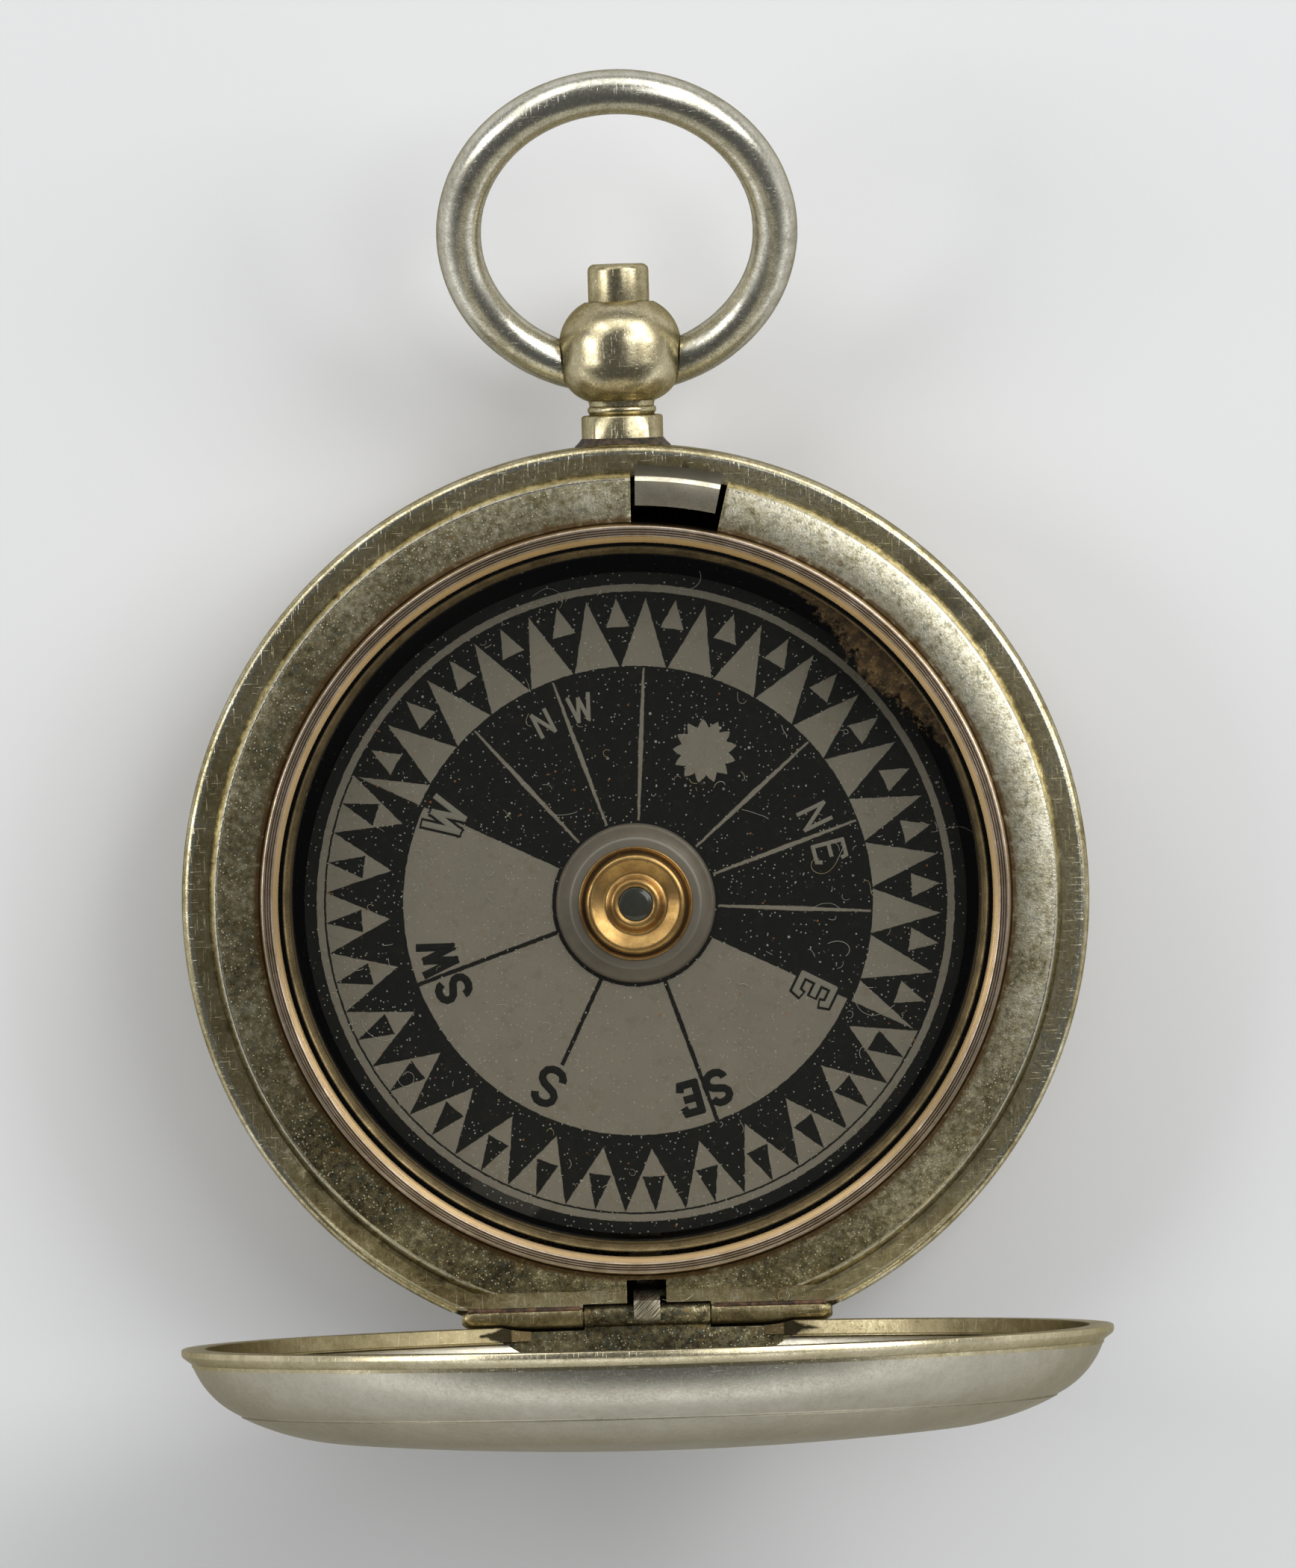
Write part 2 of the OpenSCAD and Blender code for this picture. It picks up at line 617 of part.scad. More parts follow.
module card_lifter() color(brass) difference() {
    union() {
        translate([-lever_w / 2, 0, 0]) rotate([90, 0, 90]) linear_extrude(lever_w) union() {
            translate([-lever_pin_y, lever_pin_z]) circle(r = lever_boss_r);
            polygon([[-lever_pin_y, lever_pin_z - lever_t / 2], [-pivot_off - lever_hole_r - lever_t, ring_top - lever_t],
                [-pivot_off - lever_hole_r - lever_t, ring_top], [-lever_pin_y, lever_pin_z + lever_t]]);
            polygon([[-lever_pin_y, lever_pin_z - lever_boss_r], [-lever_pin_y, lever_pin_z],
                [-tail_y, lever_pin_z - tail_drop + tail_h / 2], [-tail_y, lever_pin_z - tail_drop - tail_h / 2]]);
        }
        at_pivot() translate([0, 0, ring_top - lever_t]) cylinder(r = lever_ring_r, h = lever_t);
    }
    at_pivot() translate([0, 0, ring_top - lever_t - over]) cylinder(r = lever_hole_r, h = lever_t + 2 * over);
    translate([-lever_w / 2 - over, -lever_pin_y, lever_pin_z]) rotate([0, 90, 0])
        cylinder(r = lever_pin_r + run_gap, h = lever_w + 2 * over);
}

// A spring's foot with the hole for its screw
module foot(a) difference() {
    translate([0, 0, leaf_z]) sector(a - foot_a, a + foot_a, case_r - foot_in, case_r - foot_out, leaf_h);
    at_screw(a) translate([0, 0, leaf_z - over]) cylinder(r = screw_r + run_gap, h = leaf_h + 2 * over);
}

module spring_screw(a) color(steel) at_screw(a) difference() {
    union() {
        translate([0, 0, leaf_z - screw_bite]) cylinder(r = screw_r, h = screw_bite + leaf_h + 2 * stop_gap);
        translate([0, 0, leaf_top + stop_gap]) cylinder(r = screw_head_r, h = screw_head_h);
    }
    translate([-screw_head_r - over, -slot_w / 2, leaf_top + stop_gap + screw_head_h - slot_depth])
        cube([2 * (screw_head_r + over), slot_w, slot_depth + over]);
}

module catch_spring() color(steel) {
    foot(catch_screw_a);
    translate([0, 0, leaf_z])
        sector(catch_a1 - foot_a / 4, catch_screw_a - foot_a / 2, catch_leaf_r - leaf_t, catch_leaf_r, leaf_h);
    rotate([0, 0, catch_a2]) rotate_extrude(angle = catch_a1 - catch_a2) polygon([
        [head_r1, leaf_z], [head_r2, leaf_z], [head_r2, hook_z], [hook_r, hook_z], [hook_r, hook_z + hook_edge],
        [head_r2, hook_z + hook_h], [head_r1, hook_z + hook_h - hook_edge]]);
}

module catch_screw() spring_screw(catch_screw_a);

module lid_spring() color(steel) {
    foot(fly_screw_a);
    translate([0, 0, leaf_z]) sector(270, fly_screw_a - foot_a / 2, riser_y2 - leaf_t, riser_y2, leaf_h);
    translate([-finger_w / 2, 0, 0]) rotate([90, 0, 90]) linear_extrude(finger_w) polygon([
        [-riser_y2, leaf_z], [-riser_y1, leaf_z], [-riser_y1, finger_z - finger_t / 2],
        [-riser_y1 - finger_t, finger_z + finger_t], [-tip_y + finger_t / 2, finger_z + finger_t],
        [-tip_y, finger_z + nose_drop], [-tip_y, finger_z - nose_drop / 2],
        [-riser_y2 - nose_drop, finger_z], [-riser_y2, finger_z - nose_drop]]);
    translate([-pusher_w / 2, -riser_y2, pusher_z]) cube([pusher_w, finger_t, leaf_z - pusher_z]);
    translate([-pusher_w / 2, -riser_y2, pusher_z]) cube([pusher_w, riser_y2 - pusher_y, tail_h]);
}

module lid_spring_screw() spring_screw(fly_screw_a);

module pendant() color(nickel) difference() {
    along_y() rotate_extrude() polygon(concat(
        [[0, case_r - pendant_root], [neck_collar_r, case_r - pendant_root],
         [neck_collar_r, case_r + neck_collar_l - groove_l], [neck_collar_r - groove_l, case_r + neck_collar_l],
         [bead_r, case_r + neck_collar_l], [bead_r, case_r + neck_collar_l + bead_l]],
        arc_pts([neck_r, ball_y - ball_low], [ball_r, ball_y - ball_waist], ball_low_share),
        [[ball_r, ball_y - ball_waist]],
        arc_pts([ball_r, ball_y + ball_waist], [ball_top_r, ball_top_y], ball_high_share),
        [[ball_top_r, ball_top_y], [0, ball_top_y]]));
    cylinder(r = case_r + seat, h = 2 * case_h);
    along_y() translate([0, 0, case_r - over]) cylinder(r = stem_r + run_gap, h = ball_top_y - case_r);
    along_y() translate([0, 0, button_hole_y]) cylinder(r = button_r + run_gap, h = ball_high + over);
    for (side = [-1, 1])
        translate([side * (ball_r - bow_pin_l / 2 + over / 2), ball_y, pendant_z])
            rotate([0, 90, 0]) rotate([0, 0, seam_turn])
                cylinder(r = bow_pin_r + run_gap, h = bow_pin_l + 2 * stop_gap + over, center = true);
}

module push_button() color(nickel) along_y() rotate_extrude() polygon(concat(
    [[0, stem_tip_y], [stem_tip_r, stem_tip_y], [stem_r, stem_tip_y + stem_r - stem_tip_r],
     [stem_r, button_y], [button_r, button_y]],
    round_pts([button_r - button_round, button_top_y - button_round], button_round, 0, 90),
    [[0, button_top_y]]));

module bow() color(nickel) translate([0, ball_y, pendant_z]) rotate([bow_lean, 0, 0]) union() {
    difference() {
        translate([0, bow_c, 0]) rotate_extrude() translate([bow_r, 0]) circle(r = wire_r);
        translate([-bow_end_x, bow_c - bow_r - 2 * wire_r, -2 * wire_r])
            cube([2 * bow_end_x, bow_r + 2 * wire_r, 4 * wire_r]);
    }
    for (side = [-1, 1])
        translate([side * (ball_r - bow_pin_l / 2 + wire_r / 2), 0, 0]) rotate([0, 90, 0])
            cylinder(r = bow_pin_r, h = bow_pin_l + wire_r, center = true);
}

// What the lid's shells leave open for the hinge
module hinge_space() {
    translate([-case_r, -case_r - over, case_h - over])
        cube([case_d, case_r + over - wall_out_y, dome_h + 2 * over]);
    translate([-hinge_wall_w / 2 - seat, -case_r - over, case_h - over])
        cube([hinge_wall_w + 2 * seat, case_r + over - wall_in_y, dome_h + 2 * over]);
    along_hinge(-barrel_l / 2 - free_gap, barrel_l / 2 + free_gap, knuckle_r + free_gap);
}

module lid_rim() color(nickel) opened() difference() {
    translate([0, 0, rim_z]) rotate_extrude() polygon([
        [lip_in_r, 0], [case_r - rim_lip_edge, 0], [case_r, rim_lip_edge], [case_r, rim_band],
        [rim_top_r, rim_h], [lip_in_r + lid_groove, rim_h], [lip_in_r + lid_groove, lid_lip_h],
        [lip_in_r, lid_lip_h]]);
    hinge_space();
}

module lid_dome() color(nickel) opened() difference() {
    translate([0, 0, rim_z]) rotate_extrude()
        polygon(concat(dome_line(0), backwards(dome_line(dome_wall))));
    hinge_space();
}

module lid_hinge_plate() color(plate_grey) opened() difference() {
    union() {
        difference() {
            intersection() {
                translate([0, 0, rim_z]) rotate_extrude() polygon(concat(
                    [[0, 0], [case_r - rim_lip_edge, 0], [case_r, rim_lip_edge], [case_r, rim_band]], dome_line(0)));
                translate([-hinge_wall_w / 2, -wall_out_y, case_h])
                    cube([hinge_wall_w, hinge_wall_t, dome_h + over]);
            }
            along_hinge(-barrel_l / 2, barrel_l / 2, knuckle_r + free_gap);
        }
        intersection() {
            translate([-middle_l / 2, -wall_out_y, hinge_z]) cube([middle_l, hinge_wall_t, 2 * knuckle_r]);
            along_hinge(-middle_l / 2, middle_l / 2, 2 * knuckle_r);
        }
        along_hinge(-middle_l / 2, middle_l / 2, knuckle_r);
    }
    along_hinge(-middle_l / 2 - over, middle_l / 2 + over, hinge_pin_r + run_gap);
}

// An outer knuckle, from the middle knuckle out to its rounded end
module knuckle() color(nickel) rotate([0, 90, 0]) rotate_extrude() polygon(concat(
    [[hinge_pin_r + seat, middle_l / 2 + knuckle_gap], [knuckle_r, middle_l / 2 + knuckle_gap]],
    round_pts([knuckle_r - knuckle_round, barrel_l / 2 - knuckle_round], knuckle_round, 0, 60, 5),
    [[hinge_pin_r + seat, barrel_l / 2]]));

module hinge_knuckle_right() translate([0, -hinge_y, hinge_z]) knuckle();

module hinge_knuckle_left() translate([0, -hinge_y, hinge_z]) mirror([1, 0, 0]) knuckle();

module hinge_pin() color(steel) along_hinge(-barrel_l / 2 + pin_short, barrel_l / 2 - pin_short, hinge_pin_r);

case_band();
case_back();
front_plate();
glass_bezel();
crystal();
crystal_ring();
bowl();
pivot_post();
pivot_needle();
card_disc();
card_collar();
card_cap();
cap_jewel();
magnet_bar();
lifter_bracket();
lifter_pin();
card_lifter();
catch_spring();
catch_screw();
lid_spring();
lid_spring_screw();
pendant();
push_button();
bow();
lid_rim();
lid_dome();
lid_hinge_plate();
hinge_knuckle_left();
hinge_knuckle_right();
hinge_pin();
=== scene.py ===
# %% [markdown]
# # A pocket compass with a sprung lid
# The compass lies on its back with its lid standing open. Its frame comes from the CAD model:
# X runs to the right of the dial, Y towards the pendant and Z out of the glass, in metres.
# The cells below set the camera and the light, write the finishes, and then make each piece
# that shows, at its real size, so that it sits exactly where the CAD model has it.

# %% Load the frame
import math
import random

import bpy
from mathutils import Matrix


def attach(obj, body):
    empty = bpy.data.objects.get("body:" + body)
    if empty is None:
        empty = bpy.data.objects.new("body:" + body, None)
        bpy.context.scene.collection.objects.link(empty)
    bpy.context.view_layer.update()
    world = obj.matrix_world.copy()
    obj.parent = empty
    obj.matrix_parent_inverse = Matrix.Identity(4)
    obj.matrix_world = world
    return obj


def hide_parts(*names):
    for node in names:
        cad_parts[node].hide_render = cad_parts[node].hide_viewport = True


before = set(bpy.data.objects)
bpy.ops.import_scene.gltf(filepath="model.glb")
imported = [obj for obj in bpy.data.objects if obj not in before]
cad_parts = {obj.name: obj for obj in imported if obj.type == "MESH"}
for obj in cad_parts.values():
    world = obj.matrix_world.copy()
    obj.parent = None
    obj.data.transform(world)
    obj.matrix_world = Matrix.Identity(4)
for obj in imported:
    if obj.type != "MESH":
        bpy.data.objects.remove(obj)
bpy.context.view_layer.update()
print("nodes:", len(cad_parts))

# %% [markdown]
# ## The camera
# The picture was taken from almost a metre away with a long lens, two degrees off the dial's
# normal. A long lens is given by its picture height in pixels over its focal length in pixels,
# so the sensor is fitted to the height of the frame.

# %% Camera
VIEW_PLACE = (0.000572, 0.032958, 0.761439)
VIEW_TURN = (-2.066, -0.075, -1.612)
FOCAL_PIXELS = 19916.3
FRAME_HEIGHT = 2100
SENSOR = 36.0


def add_camera():
    lens = bpy.data.cameras.new("view")
    lens.sensor_fit = "VERTICAL"
    lens.sensor_height = SENSOR
    lens.lens = SENSOR * FOCAL_PIXELS / FRAME_HEIGHT
    lens.clip_start = 0.01
    camera = bpy.data.objects.new("view", lens)
    bpy.context.scene.collection.objects.link(camera)
    camera.location = VIEW_PLACE
    camera.rotation_euler = [math.radians(a) for a in VIEW_TURN]
    bpy.context.scene.camera = camera
    return camera


camera = add_camera()
print("lens mm:", round(camera.data.lens, 1))

# %% [markdown]
# ## Helpers for modelling
# Everything is modelled in millimetres, because edit mode's thresholds suit that size, and is
# shrunk to metres as its place is applied. An operator acts on all that is selected, so each
# helper deselects everything first.

# %% Selecting
MM = 0.001


def deselect():
    if bpy.context.object and bpy.context.object.mode != "OBJECT":
        bpy.ops.object.mode_set(mode="OBJECT")
    bpy.ops.object.select_all(action="DESELECT")


def activate(piece):
    deselect()
    piece.select_set(True)
    bpy.context.view_layer.objects.active = piece

# %% [markdown]
# A turned piece is an outline that is extruded point by point from a single vertex and then
# spun. That is how a lathe makes it, and nearly every piece of a watch-shaped case is turned.

# %% Turning
MERGE = 1e-4


def turned(name, outline, steps=256, degrees=360, start=0):
    """Spins a closed outline of (radius, height) points about Z."""
    deselect()
    bpy.ops.mesh.primitive_plane_add(size=1)
    piece = bpy.context.object
    piece.name = piece.data.name = name
    bpy.ops.object.mode_set(mode="EDIT")
    bpy.ops.mesh.merge(type="CENTER")
    bpy.ops.transform.translate(value=(outline[0][0], 0, outline[0][1]))
    for (r1, z1), (r2, z2) in zip(outline, outline[1:] + outline[:1]):
        step = (r2 - r1, 0, z2 - z1)
        bpy.ops.mesh.extrude_vertices_move(TRANSFORM_OT_translate={"value": step})
    bpy.ops.mesh.select_all(action="SELECT")
    bpy.ops.mesh.remove_doubles(threshold=MERGE)
    if degrees < 360:
        bpy.ops.mesh.edge_face_add()
    bpy.ops.mesh.select_all(action="SELECT")
    bpy.ops.mesh.spin(steps=steps, angle=-math.radians(degrees), center=(0, 0, 0), axis=(0, 0, 1))
    bpy.ops.mesh.select_all(action="SELECT")
    bpy.ops.mesh.remove_doubles(threshold=MERGE)
    bpy.ops.mesh.normals_make_consistent(inside=False)
    bpy.ops.object.mode_set(mode="OBJECT")
    if start:
        piece.rotation_euler[2] = math.radians(start)
        bpy.ops.object.transform_apply(rotation=True)
    return piece


def arc(a, b, share, n=12):
    """Points of a shallow arc from a to b, without b, that swells to the right of the way."""
    chord = math.dist(a, b)
    sag = share * chord
    radius = (chord * chord / 4 + sag * sag) / (2 * sag)
    u = ((b[0] - a[0]) / chord, (b[1] - a[1]) / chord)
    v = (u[1], -u[0])
    half = math.asin(chord / 2 / radius)
    middle = [(a[i] + b[i]) / 2 - v[i] * (radius - sag) for i in (0, 1)]
    turns = [half * (2 * i / n - 1) for i in range(n)]
    return [tuple(middle[i] + v[i] * radius * math.cos(t) + u[i] * radius * math.sin(t)
                  for i in (0, 1)) for t in turns]


def rounded(centre, radius, start, end, n=6):
    """Points of a round corner about a centre."""
    turns = [math.radians(start + (end - start) * i / n) for i in range(n + 1)]
    return [(centre[0] + radius * math.cos(t), centre[1] + radius * math.sin(t)) for t in turns]


def rising(length, drop):
    """How far an arc swells, as a share of its chord, so that it starts or ends upright."""
    return math.tan(math.atan2(drop, length) / 2) / 2

# %% [markdown]
# Slots, notches and bores are cut with Boolean modifiers, and each modifier is applied at once.
# A block or a rod does the cutting and is then thrown away.

# %% Cutting
def block(x, y, z):
    """A box between two values along each axis."""
    deselect()
    bpy.ops.mesh.primitive_cube_add(size=1, location=[sum(v) / 2 for v in (x, y, z)])
    tool = bpy.context.object
    tool.scale = [v[1] - v[0] for v in (x, y, z)]
    bpy.ops.object.transform_apply(location=True, scale=True)
    return tool


def rod(axis, centre, radius, length, sides=64):
    """A cylinder along X, Y or Z."""
    deselect()
    turn = {"X": (0, math.pi / 2, 0), "Y": (math.pi / 2, 0, 0), "Z": (0, 0, 0)}[axis]
    bpy.ops.mesh.primitive_cylinder_add(vertices=sides, radius=radius, depth=length,
                                        location=centre, rotation=turn)
    bpy.ops.object.transform_apply(location=True, rotation=True)
    return bpy.context.object


def combine(piece, tool, operation="DIFFERENCE"):
    activate(piece)
    change = piece.modifiers.new("change", "BOOLEAN")
    change.object, change.operation, change.solver = tool, operation, "EXACT"
    bpy.ops.object.modifier_apply(modifier="change")
    bpy.data.objects.remove(tool)
    return piece

# %% [markdown]
# Real metal has no perfectly sharp edge: a thin bevel catches the light along every corner.
# The last helper bevels and smooths a piece, moves it to its place, shrinks it to metres,
# hangs it on the body that carries it and hides the CAD node it stands for.

# %% Finishing a piece
BEVEL_STEPS = 2


def finish_piece(piece, body, nodes, material, bevel=0.05, angle=32,
                 place=(0, 0, 0), turn=(0, 0, 0), about=None):
    activate(piece)
    if bevel:
        edge = piece.modifiers.new("edge", "BEVEL")
        edge.width, edge.segments, edge.limit_method = bevel, BEVEL_STEPS, "ANGLE"
        edge.angle_limit = math.radians(angle)
        edge.use_clamp_overlap = True
        bpy.ops.object.modifier_apply(modifier="edge")
    piece.rotation_euler = [math.radians(a) for a in turn]
    if about:
        spun = piece.rotation_euler.to_matrix() @ type(piece.location)(about)
        place = [about[i] - spun[i] for i in range(3)]
    piece.location = place
    bpy.ops.object.transform_apply(location=True, rotation=True)
    piece.scale = (MM, MM, MM)
    bpy.ops.object.transform_apply(scale=True)
    bpy.ops.object.shade_smooth_by_angle(angle=math.radians(angle))
    piece.data.materials.clear()
    piece.data.materials.append(material)
    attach(piece, body)
    if nodes:
        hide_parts(*nodes)
    print(piece.name, "faces:", len(piece.data.polygons))
    return piece


def turn_piece(name, outline, steps, body, node, material, bevel=0, angle=32, **place):
    """A turned piece that needs no cutting."""
    return finish_piece(turned(name, outline, steps), body, [node], material, bevel, angle, **place)


def dressed(node, name, body, material, bevel=0.04, angle=32):
    """A merged copy of a CAD node with bevelled edges, for pieces with flat faces."""
    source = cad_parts[node]
    copy = bpy.data.objects.new(name, source.data.copy())
    bpy.context.scene.collection.objects.link(copy)
    copy.matrix_world = source.matrix_world
    copy.scale = [s / MM for s in copy.scale]
    activate(copy)
    bpy.ops.object.transform_apply(location=True, rotation=True, scale=True)
    bpy.ops.object.mode_set(mode="EDIT")
    bpy.ops.mesh.select_all(action="SELECT")
    bpy.ops.mesh.remove_doubles(threshold=MERGE)
    bpy.ops.mesh.dissolve_limited(angle_limit=math.radians(1))
    bpy.ops.object.mode_set(mode="OBJECT")
    return finish_piece(copy, body, [node], material, bevel, angle)

# %% [markdown]
# ## Shader maths
# A finish is easier to read as a formula than as a list of nodes. A Number wraps one socket,
# and adding or multiplying Numbers adds the Math nodes. Every pattern reads the piece's own
# coordinates in millimetres.

# %% Numbers and finishes
class Number:
    def __init__(self, finish, socket):
        self.finish, self.socket = finish, socket

    def math(self, operation, other=None, swap=False):
        values = [v for v in ((other, self) if swap else (self, other)) if v is not None]
        return self.finish.node("ShaderNodeMath", {"operation": operation}, dict(enumerate(values)))

    def __add__(self, other): return self.math("ADD", other)
    def __radd__(self, other): return self.math("ADD", other)
    def __sub__(self, other): return self.math("SUBTRACT", other)
    def __rsub__(self, other): return self.math("SUBTRACT", other, swap=True)
    def __mul__(self, other): return self.math("MULTIPLY", other)
    def __rmul__(self, other): return self.math("MULTIPLY", other)
    def __truediv__(self, other): return self.math("DIVIDE", other)
    def __pow__(self, other): return self.math("POWER", other)

    def low(self, other): return self.math("MINIMUM", other)
    def high(self, other): return self.math("MAXIMUM", other)
    def size(self): return self.math("ABSOLUTE")

    def clamp(self):
        return self.low(1).high(0)

    def above(self, limit, soft=0.02):
        """1 where this is above a limit and 0 below it, with a soft edge."""
        return ((self - limit) / soft + 0.5).clamp()

    def below(self, limit, soft=0.02):
        return ((limit - self) / soft + 0.5).clamp()

    def within(self, low, high, soft=0.02):
        return self.above(low, soft) * self.below(high, soft)


class Finish:
    def __init__(self, name):
        self.material = bpy.data.materials.new(name)
        self.material.use_nodes = True
        self.tree = self.material.node_tree
        self.tree.nodes.clear()
        self.output = self.tree.nodes.new("ShaderNodeOutputMaterial")
        place = self.node("ShaderNodeTexCoord", {}, {}, "Object")
        self.place = self.node("ShaderNodeVectorMath", {"operation": "SCALE"},
                               {0: place, "Scale": 1 / MM})

    def node(self, kind, settings=None, inputs=None, output=0):
        node = self.tree.nodes.new(kind)
        for key, value in (settings or {}).items():
            if key == "stops":
                ramp = node.color_ramp
                while len(ramp.elements) < len(value):
                    ramp.elements.new(0.5)
                for element, (at, colour) in zip(ramp.elements, value):
                    element.position, element.color = at, (*colour, 1)
            else:
                setattr(node, key, value)
        for key, value in (inputs or {}).items():
            self.feed(node.inputs[key], value)
        return Number(self, node.outputs[output])

    def feed(self, socket, value):
        if isinstance(value, Number):
            self.tree.links.new(value.socket, socket)
        elif socket.type == "RGBA" and len(value) == 3:
            socket.default_value = (*value, 1)
        else:
            socket.default_value = value

    def axes(self, place=None):
        parts = self.tree.nodes.new("ShaderNodeSeparateXYZ")
        self.feed(parts.inputs[0], place or self.place)
        return [Number(self, s) for s in parts.outputs]

    def polar(self, place=None):
        """X, Y and Z of a place, and its distance from the Z axis."""
        x, y, z = self.axes(place)
        return x, y, z, (x * x + y * y) ** 0.5

    def moved(self, offset=(0, 0, 0), turn=(0, 0, 0), stretch=(1, 1, 1), place=None):
        """The place, stretched, then turned, then shifted."""
        return self.node("ShaderNodeMapping", {"vector_type": "POINT"},
                         {"Vector": place or self.place, "Location": offset,
                          "Rotation": [math.radians(a) for a in turn], "Scale": stretch})

    def vector(self, operation, *values):
        return self.node("ShaderNodeVectorMath", {"operation": operation}, dict(enumerate(values)))

    def noise(self, scale, detail=3.0, rough=0.55, place=None):
        return self.node("ShaderNodeTexNoise", {"noise_dimensions": "3D"},
                         {"Vector": place or self.place, "Scale": scale, "Detail": detail,
                          "Roughness": rough})

    def cells(self, scale, output="Distance", place=None):
        return self.node("ShaderNodeTexVoronoi", {"feature": "F1", "voronoi_dimensions": "3D"},
                         {"Vector": place or self.place, "Scale": scale, "Randomness": 1.0}, output)

    def mix(self, share, first, second):
        """Mixes two colours. The node's colour sockets come after those for plain numbers."""
        return self.node("ShaderNodeMix", {"data_type": "RGBA"}, {0: share, 6: first, 7: second}, 2)

    def bump(self, height, depth):
        return self.node("ShaderNodeBump", {},
                         {"Height": height, "Strength": 1.0, "Distance": depth * MM})

    def surface(self, colour, roughness, metallic=1.0, normal=None, coat=0.0, specular=0.5, **more):
        inputs = {"Base Color": colour, "Roughness": roughness, "Metallic": metallic,
                  "Coat Weight": coat, "Specular IOR Level": specular}
        if normal is not None:
            inputs["Normal"] = normal
        inputs.update((key.replace("_", " "), value) for key, value in more.items())
        return self.made_of(self.node("ShaderNodeBsdfPrincipled", {}, inputs))

    def made_of(self, shader):
        self.feed(self.output.inputs["Surface"], shader)
        return self.material


print("finishes are written as formulas in millimetres")

# %% [markdown]
# ## The silvery case
# The case is nickel silver, an alloy of copper, nickel and zinc. It has no plating to wear
# through: it dulls to olive and brown clouds, and stays paler where hands rub it. One number
# says how old the metal looks at each point. It adds large clouds, mottling and fine grain,
# and a colour ramp turns it into tones from pale metal to brown. On the case the number also
# carries painted shade and a painted highlight, and bright specks also stand as painted glints.

# %% Nickel silver
PALE = (0.66, 0.63, 0.49)
WORN = (0.46, 0.405, 0.25)
OLIVE = (0.235, 0.195, 0.10)
BROWN = (0.085, 0.068, 0.036)
GRIME = (0.018, 0.014, 0.008)
FRESH_METAL_AND_GLINT = (0.86, 0.82, 0.64)
EDGE_TINT = (0.42, 0.39, 0.30)
CASE_TONES = ((0.0, PALE), (0.35, WORN), (0.7, OLIVE), (1.0, BROWN))


def patina(f, seed, fine=1.0, clouds=0.4):
    """Adds clouds, mottling and grain to a number that varies about a half."""
    where = f.moved(offset=(seed, seed * 0.7, -seed))
    cloud = f.noise(0.28, 4, 0.65, where)
    mottle = f.noise(1.9 * fine, 5, 0.72, where)
    grain = f.noise(7.5 * fine, 3, 0.7, where)
    return cloud * clouds + mottle * (0.75 - clouds) + grain * 0.25, mottle, grain


def ramp(f, value, tones):
    return f.node("ShaderNodeValToRGB", {"stops": tones}, {0: value})


def sprinkled(f, scale, size, patch, least=0.5, fade=0.1, soft=0.08, offset=None):
    """Small round marks that lie in patches."""
    place = f.moved(offset) if offset else None
    return f.cells(scale, place=place).below(size, soft) * f.noise(patch, 2, 0.5).above(least, fade)


def nickel_silver(name, age=0.4, contrast=3.0, smooth=0.2, dull=0.4, specks=0.5, seed=0.0,
                  older_and_painted_light=None, grime_and_shade=None, tones=CASE_TONES, scratch_depth=0.3):
    f = Finish(name)
    value, mottle, grain = patina(f, seed)
    value = (value - 0.5) * contrast + age
    if older_and_painted_light:
        value = value + older_and_painted_light(f)
    value = value.clamp()
    colour = ramp(f, value, tones)
    pit = sprinkled(f, 2.3, 0.13, 0.6, offset=(seed, 2, 1)) * specks
    # Bright specks of fresh metal, which also stand as painted glints of the grain.
    glint = sprinkled(f, 3.4, 0.1, 0.9, soft=0.06, offset=(4, seed, 2)) * specks
    long = f.noise(1.0, 2, 0.6, f.moved((seed, 3, 1), (0, 0, 37), (14, 0.7, 6)))
    across = f.noise(1.0, 2, 0.6, f.moved((1, seed, 5), (0, 20, -52), (0.8, 17, 8)))
    scratch = long.above(0.66, 0.05).high(across.above(0.68, 0.05))
    colour = f.mix(pit, colour, GRIME)
    colour = f.mix(glint.high(scratch * scratch_depth), colour, FRESH_METAL_AND_GLINT)
    roughness = smooth + (dull - smooth) * value + (grain - 0.5) * 0.3 + pit * 0.2
    # The grime function adds dirt and also painted shade.
    if grime_and_shade:
        dirt_and_shade = grime_and_shade(f)
        colour = f.mix(dirt_and_shade, colour, GRIME)
        roughness = roughness + dirt_and_shade * 0.3
    height = mottle * 0.5 + grain * 0.3 - pit * 0.6 - scratch * 0.2
    return f.surface(colour, roughness.clamp(), 1.0, f.bump(height, 0.014), Specular_Tint=EDGE_TINT)


LEDGE_Z = 8.8
LEDGE = (21.4, 22.5)
PAINTED_HIGHLIGHT_EDGE = (22.5, 22.68)
PLATE_SEAM = (21.62, 21.82)
BACK_JOINT = (4.93, 5.07)
HINGE_SHELF = (7.9, 8.97)


def ledge_shade_and_edge_highlight(f):
    """Painted shade darkens the ledge, more so at the left, and a painted highlight keeps the case's
    rounded edge bright.
    """
    x, _, z, r = f.polar()
    ledge = z.above(LEDGE_Z + 0.1, 0.1) * r.within(*LEDGE, 0.12)
    return ledge * (0.08 - x * 0.004) - r.within(*PAINTED_HIGHLIGHT_EDGE, 0.06) * z.above(LEDGE_Z, 0.1) * 0.6


